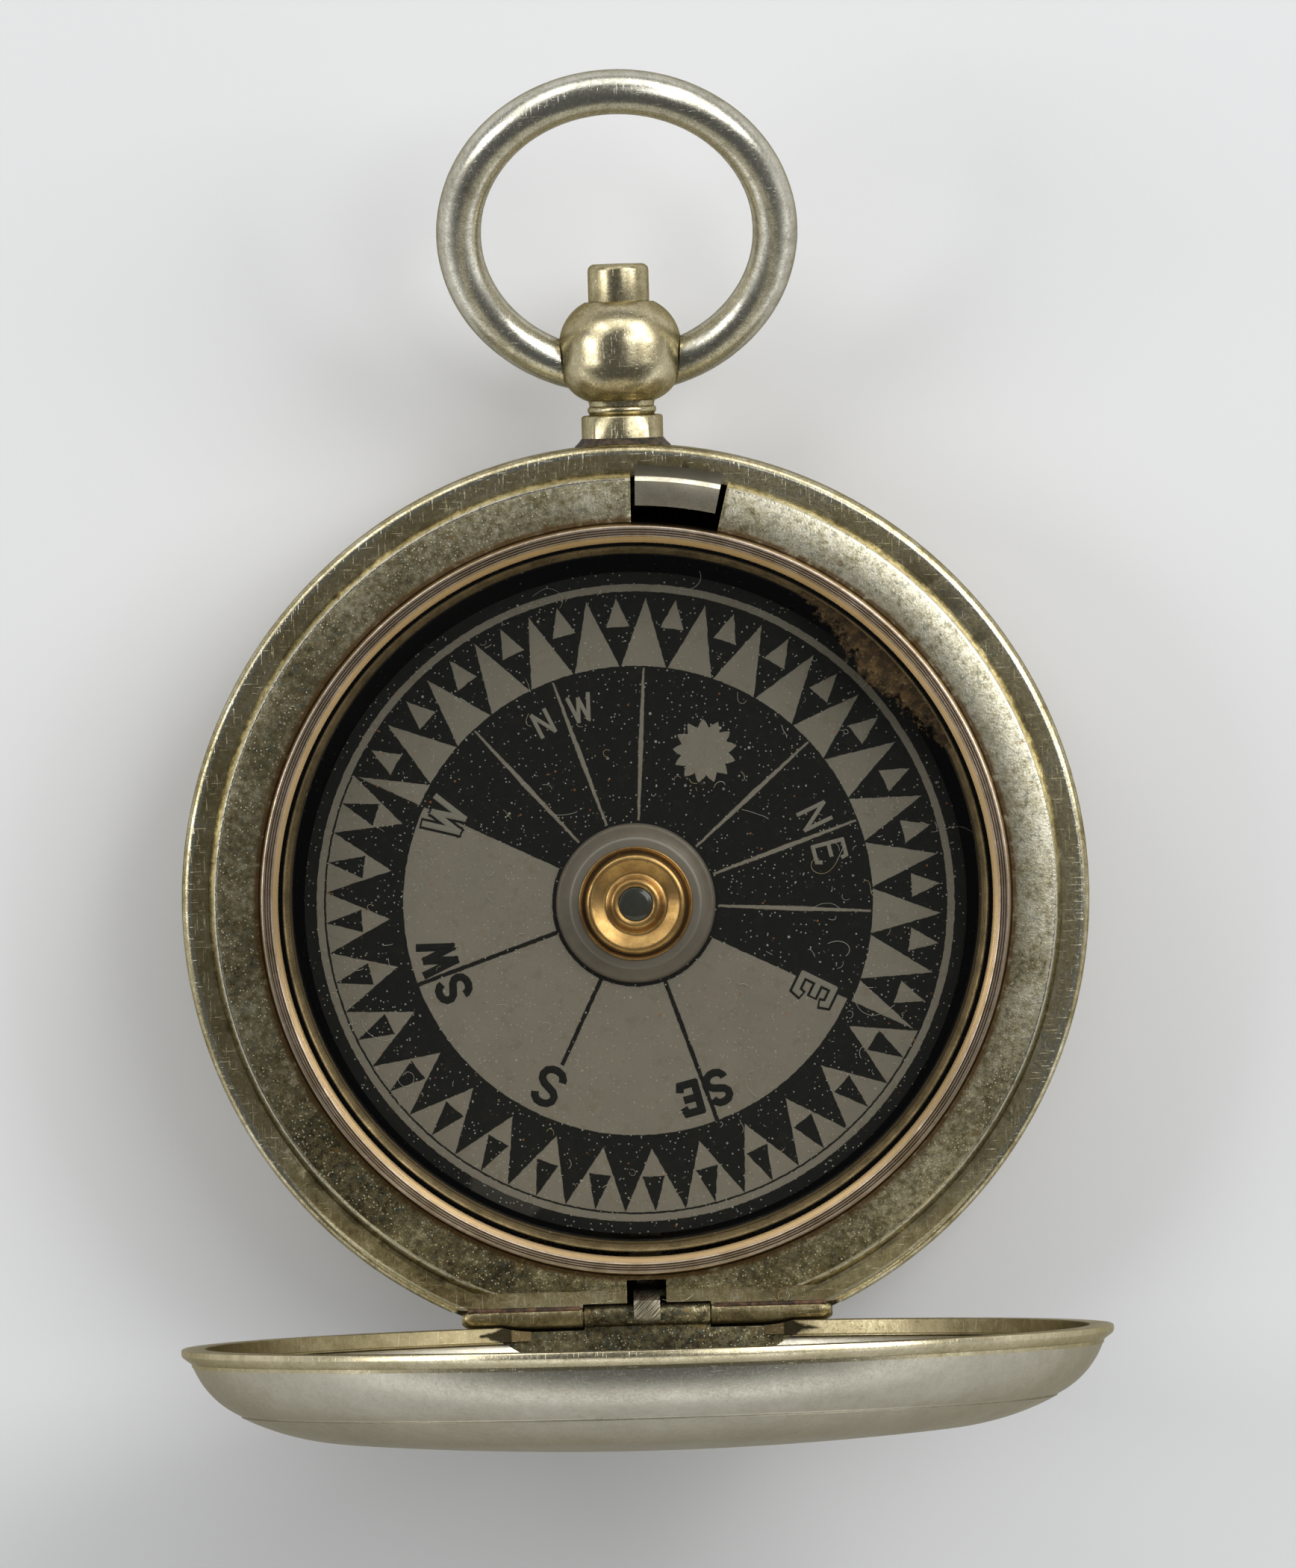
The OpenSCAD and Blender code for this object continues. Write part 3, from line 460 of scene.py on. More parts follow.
def case_grime_and_hinge_shade(f):
    """Dirt lies round the plate's foot and in the joint with the back, and painted shade darkens the
    hinge shelf under the knuckles.
    """
    x, y, z, r = f.polar()
    broken = f.noise(1.3, 3, 0.6)
    seam = r.within(*PLATE_SEAM, 0.08) * z.above(LEDGE_Z, 0.1) * broken.above(0.45, 0.2) * 0.6
    joint = z.within(*BACK_JOINT, 0.05) * 0.8
    # Painted shade along the hinge shelf behind the knuckles.
    hinge = y.below(-20.55, 0.15) * z.within(*HINGE_SHELF, 0.06) * x.size().below(9.7, 0.2) * 0.85
    return seam.high(joint).high(hinge)


HINGE_END_Z = 12.4
LID_CENTRE_Z = 29.65


def hinge_plate_corner_wedges(f):
    """Darker wedges fill the corners at both ends of the hinge plate."""
    x, y, z = f.axes()
    ragged = f.noise(1.1, 3, 0.6)
    wedge = (8.5 - x.size()) * 0.34 + (ragged - 0.5) * 0.5 - (y + 21.95).size()
    return wedge.above(0, 0.12) * x.size().above(6.9, 0.1) * z.below(HINGE_END_Z, 0.6) * 0.95


def rim_age(f):
    """The rim is paler towards its lip, and dark where it is cut flat at the hinge plate."""
    x, _, z = f.axes()
    up = z - LID_CENTRE_Z
    flat = x.size().below(6.95, 0.1) * z.below(HINGE_END_Z, 0.6)
    return (x * x + up * up) ** 0.5 * -0.3 + 6.62 + flat * 0.5


SATIN = ((0.0, (0.68, 0.65, 0.55)), (0.5, (0.52, 0.49, 0.40)), (1.0, (0.32, 0.295, 0.22)))
BRIGHT = ((0.0, (0.76, 0.74, 0.65)), (0.4, (0.58, 0.56, 0.47)),
          (0.75, (0.34, 0.32, 0.25)), (1.0, (0.16, 0.145, 0.10)))
GOLDEN = ((0.0, (0.70, 0.63, 0.45)), (0.4, (0.49, 0.43, 0.27)),
          (0.8, (0.27, 0.22, 0.12)), (1.0, (0.12, 0.09, 0.045)))
# The case's ledge and hinge shelf get painted shade, and its rounded edge a painted highlight.
case_metal = nickel_silver("nickel_silver_case", age=0.42, older_and_painted_light=ledge_shade_and_edge_highlight, grime_and_shade=case_grime_and_hinge_shade)
lid_metal = nickel_silver("nickel_silver_lid", age=0.45, contrast=1.8, smooth=0.3, dull=0.42,
                          specks=0.15, seed=11.0, grime_and_shade=hinge_plate_corner_wedges, tones=SATIN, scratch_depth=0.08)
ring_metal = nickel_silver("nickel_silver_bow", age=0.45, contrast=2.6, dull=0.36,
                           specks=0.25, seed=23.0, tones=BRIGHT)
pendant_metal = nickel_silver("nickel_silver_pendant", age=0.42, contrast=2.6, dull=0.38,
                              specks=0.3, seed=31.0, tones=GOLDEN)
rim_metal = nickel_silver("nickel_silver_rim", age=0.5, contrast=2.2, smooth=0.26, specks=0.3,
                          seed=17.0, older_and_painted_light=rim_age, grime_and_shade=hinge_plate_corner_wedges, tones=GOLDEN)
knuckle_metal = nickel_silver("nickel_silver_knuckle", age=0.72, contrast=2.6, smooth=0.22,
                              dull=0.42, specks=0.4, seed=41.0)
print("case, lid, bow and pendant finishes made")

# %% [markdown]
# The flat plate round the glass is grained like fine leather. It has darkened unevenly, with
# bluish grey flecks in the hollows and bright specks on worn grains, which also stand as painted
# glints. A painted highlight makes it paler towards the upper right, it is a little darker
# towards the bottom, and its bevel is painted bright as a highlight.

# %% Grained plate
GRAINED_TONES = ((0.0, (0.74, 0.70, 0.55)), (0.3, (0.46, 0.42, 0.28)),
                 (0.62, (0.185, 0.158, 0.085)), (1.0, (0.042, 0.036, 0.022)))
BEVEL_HIGHLIGHT_RING = (21.2, 21.62)
DISHED = 4.0


def grained_plate(name, age=0.5, foot=True, shine=0.85):
    """Grained metal, painted paler towards the upper right as a highlight and a little darker towards
    the bottom. The plate round the glass also has a bevel painted bright as a highlight, and a brown
    foot.
    """
    f = Finish(name)
    x, y, _, r = f.polar()
    value, mottle, grain = patina(f, 5.0, 1.25, 0.34)
    # Painted highlight: the bevel ring is made paler.
    bevel = r.within(*BEVEL_HIGHLIGHT_RING, 0.06) * (1.0 if foot else 0)
    # Painted highlight: paler towards the upper right, and a little darker towards the bottom.
    painted_highlight_axis = x * 0.78 + y * 0.62
    place = painted_highlight_axis * 0.012 + (painted_highlight_axis - 12).high(0) * 0.018 - (-10 - y).high(0) * 0.004
    value = ((value - 0.5) * 3.8 + age - place - bevel).clamp()
    colour = ramp(f, value, GRAINED_TONES)
    blue = f.noise(3.1, 4, 0.7, f.moved(offset=(9, 2, 4))).above(0.57, 0.08)
    colour = f.mix(blue * 0.45, colour, (0.10, 0.12, 0.105))
    # Bright specks on worn grains, which also stand as painted glints.
    speck = sprinkled(f, 5.4, 0.2, 1.1, 0.44, 0.12)
    colour = f.mix(speck * shine, colour, (0.86, 0.80, 0.58))
    rusty = f.noise(1.2, 3, 0.6, f.moved(offset=(1, 7, 3))).above(0.66, 0.05)
    colour = f.mix(rusty * 0.6, colour, (0.20, 0.13, 0.05))
    roughness = 0.34 + value * 0.12 + (grain - 0.5) * 0.4 - bevel * 0.15
    height = grain * 0.6 + mottle * 0.5
    if foot:
        height = height - r * DISHED
        ring = r.below(19.35, 0.2) * f.noise(2.0, 3, 0.6).above(0.36, 0.2)
        colour = f.mix(ring * 0.9, colour, (0.10, 0.06, 0.025))
        roughness = roughness + ring * 0.2
    return f.surface(colour, roughness.clamp(), 1.0, f.bump(height, 0.02), Specular_Tint=EDGE_TINT)


plate_metal = grained_plate("grained_plate")
hinge_plate_metal = grained_plate("grained_hinge_plate", 0.62, foot=False, shine=0.5)
print("grained plate finishes made")

# %% [markdown]
# ## The small metals
# The bezel was turned on a lathe, so its scratches run round it. Its inner slope is a duller
# golden brown than its top. The ring under the glass, the cap and the springs each have a
# plain metal with fine wear. The catch's hook is painted dark beyond its ridge, as painted shade
# on its upper face, and the lid's spring still shows its file marks.

# %% Turned and small metals
SMALL_TINT = (0.6, 0.55, 0.45)


def turned_metal(name, clean, cloud, smooth, dull, lines=1.0, stripes=(), rings=(),
                 grain_share=0.35, metallic=1.0):
    """Metal with wear that runs round Z. Stripes are bands of height, rings bands of radius."""
    f = Finish(name)
    _, _, z, r = f.polar()
    way = f.node("ShaderNodeCombineXYZ", {}, {0: r * 12, 1: z * 12, 2: 0.0})
    round_lines = f.noise(1.0, 4, 0.6, way)
    patch = f.noise(0.7, 4, 0.65)
    fine = f.noise(11.0, 3, 0.7)
    colour = f.mix(((patch - 0.5) * 3 + 0.5 + (round_lines - 0.5) * 1.5 * lines).clamp(), clean, cloud)
    colour = f.mix(fine.above(0.6, 0.12) * grain_share, colour, GRIME)
    for number, marks in ((z, stripes), (r, rings)):
        for low, high, tone, broken in marks:
            band = number.within(low, high, 0.05) * f.noise(1.6, 3, 0.6).above(broken, 0.2)
            colour = f.mix(band * 0.95, colour, tone)
    roughness = smooth + (dull - smooth) * patch + (fine - 0.5) * 0.15
    roughness = roughness + (round_lines - 0.5) * 0.25 * lines
    normal = f.bump(round_lines * lines + fine * 0.3, 0.01)
    return f.surface(colour, roughness.clamp(), metallic, normal, Specular_Tint=SMALL_TINT)


bezel_metal = turned_metal("turned_bezel", (0.80, 0.68, 0.56), (0.44, 0.35, 0.24), 0.24, 0.42, stripes=(
    (9.5, 9.85, (0.10, 0.06, 0.025), 0.25), (10.2, 10.455, (0.42, 0.29, 0.14), 0.1),
    (10.455, 10.485, (0.08, 0.055, 0.03), 0.3)))
brass_metal = turned_metal("old_brass", (0.44, 0.32, 0.17), (0.20, 0.145, 0.075), 0.4, 0.6,
                           grain_share=0.6)
collar_metal = turned_metal("pale_collar", (0.225, 0.19, 0.155), (0.18, 0.15, 0.122), 0.45, 0.55, 0.15,
                            stripes=((7.4, 7.46, (0.34, 0.31, 0.28), 0.2),),
                            grain_share=0.1, metallic=0.35)
gilt_metal = turned_metal("gilt_cap", (0.82, 0.51, 0.20), (0.44, 0.25, 0.09), 0.29, 0.42, 0.15,
                          stripes=((7.54, 7.6, (0.09, 0.075, 0.06), 0.3),), grain_share=0.3)
steel_metal = turned_metal("spring_steel", (0.36, 0.32, 0.24), (0.17, 0.145, 0.10), 0.3, 0.48, 0.3)
# Painted shade: the catch's hook is made dark beyond its ridge, on its upper face.
hook_metal_shaded_top = turned_metal("hook_steel_shaded_top", (0.80, 0.74, 0.58), (0.52, 0.47, 0.35), 0.3, 0.42, 0.2,
                          rings=((21.42, 23.0, (0.05, 0.045, 0.032), 0.1),))


def filed_metal(name):
    """Steel with slanting file marks."""
    f = Finish(name)
    x, y, z = f.axes()
    along = f.node("ShaderNodeCombineXYZ", {}, {0: (x - y) * 11, 1: (x + y) * 0.8, 2: z * 4})
    marks = f.noise(1.0, 3, 0.6, along)
    colour = f.mix(((marks - 0.5) * 4 + 0.5).clamp(), (0.16, 0.14, 0.10), (0.58, 0.54, 0.43))
    return f.surface(colour, 0.3 + marks * 0.15, 1.0, f.bump(marks, 0.02), Specular_Tint=EDGE_TINT)


finger_metal = filed_metal("filed_spring")
blued_metal = turned_metal("magnet_steel", (0.06, 0.07, 0.09), (0.05, 0.05, 0.06), 0.3, 0.5, 0.2)
print("small metals made")

# %% [markdown]
# The bowl below the card is blackened brass, dusty at its foot. The glass is almost unseen:
# it lets the light through, and its sheen comes from the angle of the light alone. The jewel
# is a dark polished stone.

# %% Bowl, glass, jewel and solder
def blackened(name):
    """Dark metal, dusty, with a brown upper edge that is brighter towards the hinge."""
    f = Finish(name)
    _, y, z = f.axes()
    dust = sprinkled(f, 2.6, 0.13, 0.9, 0.45, 0.12)
    edge = z.within(8.2, 8.62, 0.2) * (0.45 - y * 0.03).clamp()
    colour = f.mix(edge, (0.012, 0.011, 0.010), (0.20, 0.13, 0.05))
    colour = f.mix(dust * 0.8, colour, (0.5, 0.5, 0.47))
    roughness = 0.5 + dust * 0.4 + (f.noise(8.0) - 0.5) * 0.2
    return f.surface(colour, roughness, edge * 0.8, f.bump(f.noise(9.0), 0.01), 0.0, 0.3)


def clear_glass(name):
    f = Finish(name)
    clear = f.node("ShaderNodeBsdfTransparent", {}, {"Color": (0.97, 0.98, 0.965)})
    gloss = f.node("ShaderNodeBsdfGlossy", {}, {"Roughness": 0.04})
    sheen = f.node("ShaderNodeFresnel", {}, {"IOR": 1.45})
    return f.made_of(f.node("ShaderNodeMixShader", {}, {0: sheen * 0.5, 1: clear, 2: gloss}))


RUST_TURN = 42


def rust_stain(name):
    """Rust that has crept from the ring, and thins out towards the middle."""
    f = Finish(name)
    x, y, _, r = f.polar()
    turn = (y.math("ARCTAN2", x) - math.radians(RUST_TURN)).size()
    ragged = f.noise(1.5, 5, 0.75)
    reach = 17.6 - (1.3 - turn * 4.2) + (ragged - 0.5) * 3.4
    cover = ((r - reach) * 2.2 + 0.5).clamp() * 0.92
    colour = f.mix(f.noise(2.6, 4, 0.7).above(0.5, 0.25), (0.20, 0.115, 0.045), (0.09, 0.05, 0.022))
    colour = f.mix(f.noise(5.0, 3, 0.6).above(0.62, 0.06) * 0.5, colour, (0.42, 0.32, 0.18))
    colour = f.mix(f.noise(1.9, 4, 0.7).above(0.5, 0.12) * 0.7, colour, (0.03, 0.02, 0.012))
    return f.surface(colour, 0.8, 0.0, f.bump(ragged, 0.03), 0.0, 0.2, Alpha=cover)


def dark_jewel(name):
    f = Finish(name)
    colour = f.mix(f.noise(3.0), (0.03, 0.034, 0.028), (0.055, 0.05, 0.04))
    return f.surface(colour, 0.2 + f.noise(6.0) * 0.1, 0.0, None, 0.6)


def solder(name, dark=(0.014, 0.012, 0.010), light=(0.075, 0.05, 0.025)):
    f = Finish(name)
    colour = f.mix(f.noise(2.5, 4).above(0.5, 0.2), dark, light)
    return f.surface(colour, 0.5 + f.noise(7.0) * 0.2, 0.35, f.bump(f.noise(6.0, 4), 0.05))


bowl_black = blackened("blackened_bowl")
glass = clear_glass("glass")
rust = rust_stain("rust_stain")
jewel = dark_jewel("dark_jewel")
solder_seam = solder("old_solder")
brown_solder = solder("brown_solder", (0.03, 0.018, 0.01), (0.12, 0.06, 0.03))
print("bowl, glass, jewel and solder made")

# %% [markdown]
# ## The printed card
# The card's print is worked out in polar coordinates about the pivot, turned with the card's
# north. Thirty-two large teeth point outwards, with a small tooth between each pair. On the
# north half they are grey on black, and on the south half black on grey, so the card can be
# read by moonlight. Straight-sided teeth come from comparing a point's distance from the
# tooth's axis with how far it is from the tooth's tip.

# %% Card finish
PIVOT = (0, -0.3)
NORTH_TURN = 26
PITCH = math.radians(360 / 32)
CARD_BLACK = (0.0044, 0.0039, 0.0028)
CARD_GREY = (0.235, 0.205, 0.165)


def tooth(r, d, tip, base, half):
    """1 inside a straight-sided tooth whose tip is at one radius and whose base at another."""
    along, side = r * d.math("COSINE"), r * d.math("SINE")
    return side.below((tip - along) * (half / (tip - base)), 0.03)


def printed_card(f):
    """How grey the print is at each point, and the distance from the pivot."""
    wobble = f.node("ShaderNodeTexNoise", {}, {"Vector": f.place, "Scale": 3.2, "Detail": 3.0}, "Color")
    shift = f.vector("MULTIPLY_ADD", wobble, (0.1, 0.1, 0), (-0.05, -0.05, 0))
    shaken = f.vector("ADD", f.vector("SUBTRACT", f.place, (*PIVOT, 0)), shift)
    x, y, _, r = f.polar(f.moved(turn=(0, 0, NORTH_TURN), place=shaken))
    heading = x.math("ARCTAN2", y).size()
    northern = heading.below(math.pi / 2, 0.004)
    d = heading.math("PINGPONG", PITCH / 2)
    dm = PITCH / 2 - d

    big_n = tooth(r, d, 15.5, 12.05, 1.12) * r.above(12.05)
    small_n = tooth(r, dm, 15.5, 14.05, 0.59) * r.above(14.05)
    beside = r * heading.math("PINGPONG", math.pi / 16).math("SINE")
    width = 0.05 + 0.07 * ((r - 4.1) / 7.8).math("PINGPONG", 0.5) * 2
    line_n = beside.below(width, 0.04) * r.within(4.2, 11.95)
    line_n = line_n * heading.within(math.radians(11), math.radians(79))
    sun_y = y - 8.47
    sun_r = (x * x + sun_y * sun_y) ** 0.5
    rays = x.math("ARCTAN2", sun_y).math("PINGPONG", math.pi / 13) * (13 / math.pi)
    sun = sun_r.below(1.63 - 0.42 * rays)
    grey_n = big_n.high(small_n).high(line_n).high(sun)

    wedge = 1 - tooth(r, d, 15.75, 12.46, 1.227)
    small_s = tooth(r, dm, 15.75, 13.93, 0.575) * r.above(13.93)
    rim_s = wedge * (1 - small_s) * r.within(12.3, 15.73)
    beside = r * (heading - math.pi / 2).size().math("PINGPONG", math.pi / 8).math("SINE")
    line_s = beside.below(0.11, 0.04)
    wide = (heading - math.radians(135)).size().below(0.2).high(heading.above(3.0) * r.below(9.05))
    field = r.within(4.25, 11.8) * (1 - line_s * wide)
    grey_s = field.high(rim_s)

    grey = northern * grey_n + (1 - northern) * grey_s
    return grey.high(r.within(15.83, 16.2)), r


DUST = ((1.2, 0.075, 0.58, 0.8, 0.42), (2.6, 0.11, 0.56, 0.5, 0.40), (4.6, 0.17, 0.46, 0.6, 0.40))


def dust(f):
    """White specks of three sizes: one cell in a few holds a speck, and only where dust gathered."""
    total = None
    for scale, size, keep, patch, least in DUST:
        spot = f.moved(offset=(scale, 3, 0))
        chosen = f.axes(f.cells(scale, output="Color", place=spot))[0].above(keep, 0.05)
        speck = f.cells(scale, place=spot).below(size, 0.06) * chosen
        speck = speck * f.noise(patch, 2, 0.5, f.moved(offset=(7, scale, 1))).above(least, 0.1)
        total = speck if total is None else total.high(speck)
    return total


def card_print(name):
    f = Finish(name)
    grey, r = printed_card(f)
    x, y, _ = f.axes()
    worn = f.noise(0.5, 4, 0.6)
    grain = f.noise(12.0, 3, 0.65)
    paint = f.mix((worn - 0.5) * 2 + 0.5, CARD_GREY, (0.27, 0.236, 0.188))
    paint = f.mix(grain.above(0.6, 0.2) * 0.25, paint, (0.34, 0.31, 0.255))
    brown = f.noise(1.6, 3, 0.6, f.moved(offset=(2, 9, 4))).above(0.62, 0.12)
    paint = f.mix(brown * 0.35, paint, (0.19, 0.145, 0.095))
    black = f.mix(grain.above(0.62, 0.14) * 0.25, CARD_BLACK, (0.03, 0.028, 0.024))
    black = f.mix(brown * 0.3, black, (0.022, 0.016, 0.010))
    colour = f.mix(grey, black, paint)
    moon = ((x + 6.9) * (x + 6.9) + (y + 14.6) * (y + 14.6)) ** 0.5
    colour = f.mix(moon.below(1.9, 0.3) * r.above(16.22), colour, (0.05, 0.043, 0.036))
    specks = dust(f)
    colour = f.mix(specks * (0.7 - 0.3 * grey), colour, (0.62, 0.60, 0.53))
    amber = f.cells(0.9, place=f.moved(offset=(3, 1, 0))).below(0.05, 0.03)
    colour = f.mix(amber * 0.8, colour, (0.36, 0.13, 0.035))
    return f.surface(colour, 0.62 - grain * 0.15, 0.0, f.bump(grain * 0.5 + specks, 0.01), 0.0, 0.25)


def plain_paint(name, colour, light):
    f = Finish(name)
    grain = f.noise(12.0, 3, 0.65)
    colour = f.mix(grain.above(0.55, 0.2) * 0.4, colour, light)
    return f.surface(colour, 0.6 - grain * 0.1, 0.0, f.bump(grain, 0.005), 0.0, 0.25)


card_finish = card_print("printed_card")
grey_paint = plain_paint("grey_letter_paint", (0.245, 0.22, 0.18), (0.34, 0.31, 0.26))
black_paint = plain_paint("black_letter_paint", CARD_BLACK, (0.025, 0.024, 0.021))
print("card print made")

# %% [markdown]
# ## The band
# The middle of the case is one turned ring with a rounded top edge, a ledge for the lid and an
# inward flange. It is turned first. Then the hinge's shelf, its round groove, the slot for the
# catch and the notch for the lid's spring are cut, as they are on the real one.

# %% Case sizes
CASE_R = 23.0
CASE_H = 9.0
HINGE_Y, HINGE_Z = 21.1, 8.55
KNUCKLE_R = 0.6
CHORD_Y = 20.8
SHELF_Z = 8.0
JOINT_Z = 5.0
CATCH_FROM, CATCH_TO = 75.9, 89.1
NOTCH_HALF = 1.0
NOTCH_Y = 19.3


def sector(name, start, end, r1, r2, z1, z2, steps=24):
    return turned(name, [(r1, z1), (r2, z1), (r2, z2), (r1, z2)], steps, end - start, start)


FAR = 24
ACROSS = (-FAR, FAR)


def hinge_groove(x, radius):
    return rod("X", (0, -HINGE_Y, HINGE_Z), radius, 2 * x)

# %% Case band
outline = [(22.48, JOINT_Z), (CASE_R, JOINT_Z)] + rounded((22.55, 8.55), 0.45, 0, 90, 8)
outline += [(20.9, 9.0), (20.9, 8.3), (21.9, 8.3), (21.9, 4.3), (22.48, 4.3)]
band = turned("case_band_turned", outline, 320)
for z1, y in ((8.3, -19.32), (7.6, -20.2)):
    slab = rod("Z", (0, 0, (z1 + CASE_H) / 2), 22.5, CASE_H - z1, 256)
    combine(slab, block(ACROSS, (-FAR, y), (7, 10)), "INTERSECT")
    combine(band, slab, "UNION")
combine(band, block(ACROSS, (-FAR, -CHORD_Y), (SHELF_Z, 10)))
combine(band, hinge_groove(9.9, KNUCKLE_R + 0.02))
combine(band, hinge_groove(3.25, KNUCKLE_R + 0.15))
combine(band, block((-NOTCH_HALF, NOTCH_HALF), (-21.3, -NOTCH_Y), (7.0, 10)))
combine(band, sector("slot", CATCH_FROM, CATCH_TO, 20.4, 21.45, 7.8, 9.5))
combine(band, rod("Y", (0, 22.5, 6.2), 0.95, 2))
finish_piece(band, "case", ["case_band"], case_metal, 0.05, 38)

# %% [markdown]
# The back is a pressed sheet with a flat in the middle and a crease near its edge. Its outline
# is drawn once along the outside and once, moved by the sheet's thickness, along the inside.

# %% Case back
def back_line(w):
    land, side = (14.0, w), (CASE_R - w, 4.2)
    crease = (20.25 - 0.75 * w, 1.6 + 0.75 * w)
    step = (crease[0], crease[1] - (0 if w else 0.06))
    return [(0, w)] + arc(land, step, 0.063) + arc(crease, side, 0.1) + [side, (CASE_R - w, JOINT_Z)]


outline = back_line(0) + back_line(0.5)[::-1]
turn_piece("case_back_pressed", outline, 320, "case", "case_back", case_metal)

# %% [markdown]
# ## Dial plate, bezel and glass
# The plate is a flat ring with a bevelled rim that shines as a double line in the picture. The
# bezel screws the glass down, and three fine grooves run round its top.

# %% Front plate
plate = turned("front_plate_grained", [(18.77, 9.0), (21.65, 9.0), (21.3, 9.6), (18.77, 9.6)], 320)
combine(plate, block(ACROSS, (-FAR, -19.8), (8.5, 10.1)))
combine(plate, block((-NOTCH_HALF, NOTCH_HALF), (-FAR, -NOTCH_Y), (8.5, 10.1)))
combine(plate, sector("slot", CATCH_FROM, CATCH_TO, 19.05, 23.0, 8.5, 10.1))
finish_piece(plate, "case", ["front_plate"], plate_metal, 0.05, 25)

# %% Bezel
BEZEL_TOP = 10.5
outline = [(18.2, 8.6), (18.75, 8.6), (18.75, 9.6), (19.1, 9.6),
           (19.08, 9.72), (19.0, 9.85), (18.97, 10.25)]
outline += rounded((18.82, 10.35), 0.15, 15, 90, 4)
for middle in (18.74, 18.62, 18.5):
    outline += [(middle + 0.035, BEZEL_TOP), (middle, BEZEL_TOP - 0.05), (middle - 0.035, BEZEL_TOP)]
outline += [(18.44, BEZEL_TOP), (18.4, BEZEL_TOP - 0.03), (18.12, 10.27), (18.08, 10.22),
            (18.12, 10.2), (18.57, 10.2), (18.57, 9.5), (18.2, 9.5)]
turn_piece("glass_bezel_turned", outline, 320, "case", "glass_bezel", bezel_metal)

# %% Glass and the ring below it
outline = [(0, 9.5), (18.5, 9.5), (18.55, 9.55), (18.55, 10.15), (18.5, 10.2), (0, 10.2)]
turn_piece("crystal_pane", outline, 256, "case", "crystal", glass)
outline = [(17.5, 8.6), (17.9, 8.6), (17.9, 9.5), (17.8, 9.5), (17.5, 9.2)]
turn_piece("crystal_ring_turned", outline, 256, "case", "crystal_ring", brass_metal, 0.05)
finish_piece(sector("glass_rust", 24, 60, 15.8, 17.85, 9.44, 9.46, 48), "case", None, rust, 0)

# %% Bowl
outline = [(0, 0.5), (13.38, 0.5), (17.88, 2.0), (17.88, 8.6),
           (17.43, 8.6), (17.43, 2.225), (13.155, 0.95), (0, 0.95)]
bowl = turned("bowl_blackened", outline, 256)
combine(bowl, block((-0.95, 0.95), (-18.4, -17.0), (2.45, 4.1)))
finish_piece(bowl, "case", ["bowl"], bowl_black, 0.05)

# %% [markdown]
# ## Card and cap
# The card hangs from a jewelled cap. A pale collar holds the cap to the card, and the gilt cap
# rises in a round boss with a dished top round the jewel.

# %% Card, collar, cap and jewel
card_outline = [(1.52, 6.9), (16.81, 6.9), (16.83, 6.92), (16.83, 7.03), (16.81, 7.05), (1.52, 7.05)]
collar_outline = [(1.2, 6.0), (1.9, 6.0), (1.9, 6.9), (1.5, 6.9), (1.5, 7.05), (4.06, 7.05),
                  (4.06, 7.12)] + rounded((3.81, 7.12), 0.25, 15, 90, 6)
collar_outline += [(3.38, 7.38), (3.33, 7.42), (3.27, 7.46), (3.2, 7.47), (1.2, 7.47)]
cap_outline = [(0.89, 7.47), (2.9, 7.47), (2.9, 7.56)] + rounded((2.84, 7.56), 0.06, 0, 90, 3)
cap_outline += [(2.74, 7.61), (2.7, 7.56), (2.6, 7.56), (2.56, 7.64)]
cap_outline += rounded((2.3, 8.16), 0.26, 0, 118, 10)
cap_outline += [(1.68, 8.06), (1.61, 8.03), (1.54, 8.03), (1.46, 8.07), (1.3, 8.23), (1.22, 8.31),
                (1.15, 8.35), (1.08, 8.36), (0.98, 8.35), (0.89, 8.3)]
jewel_outline = [(0.6, 7.17), (0.87, 7.17), (0.87, 8.22), (0.8, 8.27),
                 (0.5, 8.3), (0, 8.32), (0, 7.99), (0.03, 7.99)]
for name, outline, steps, body, node, material, angle in (
        ("card_printed", card_outline, 256, "card", "card_disc", card_finish, 32),
        ("card_collar_turned", collar_outline, 192, "card", "card_collar", collar_metal, 60),
        ("card_cap_gilt", cap_outline, 192, "card", "card_cap", gilt_metal, 60),
        ("cap_jewel_polished", jewel_outline, 64, "jewel", "cap_jewel", jewel, 32)):
    turn_piece(name, outline, steps, body, node, material, 0, angle, place=(*PIVOT, 0))

# %% [markdown]
# ## Letters
# The compass letters were cut by hand, so they are made of strokes and not of a type face.
# Each stroke is a thin round bar that is pressed flat into a layer of paint. Letters on the
# north half are grey. On the south half they are black, and the two that stand on the border
# of the halves are grey with a black outline.

# %% Letters
S_CURVE = [(0.62, 0.78), (0.58, 0.89), (0.47, 0.98), (0.32, 1.0), (0.17, 0.96), (0.07, 0.85),
           (0.06, 0.71), (0.15, 0.60), (0.31, 0.53), (0.48, 0.46), (0.59, 0.36), (0.62, 0.23),
           (0.56, 0.09), (0.42, 0.01), (0.27, 0.0), (0.12, 0.05), (0.03, 0.17), (0.02, 0.26)]
STROKES = {
    "N": [[(0, 0), (0, 1), (0.6, 0), (0.6, 1)]],
    "E": [[(0, 0), (0, 1)], [(0, 1), (0.52, 1), (0.56, 0.86)], [(0, 0.52), (0.42, 0.52)],
          [(0, 0), (0.52, 0), (0.56, 0.14)]],
    "W": [[(0, 1), (0.2, 0), (0.42, 0.9), (0.62, 0), (0.86, 1)]],
    "S": [S_CURVE],
}


PAINT_Z = 7.055
PAINT_DEPTH = 0.02


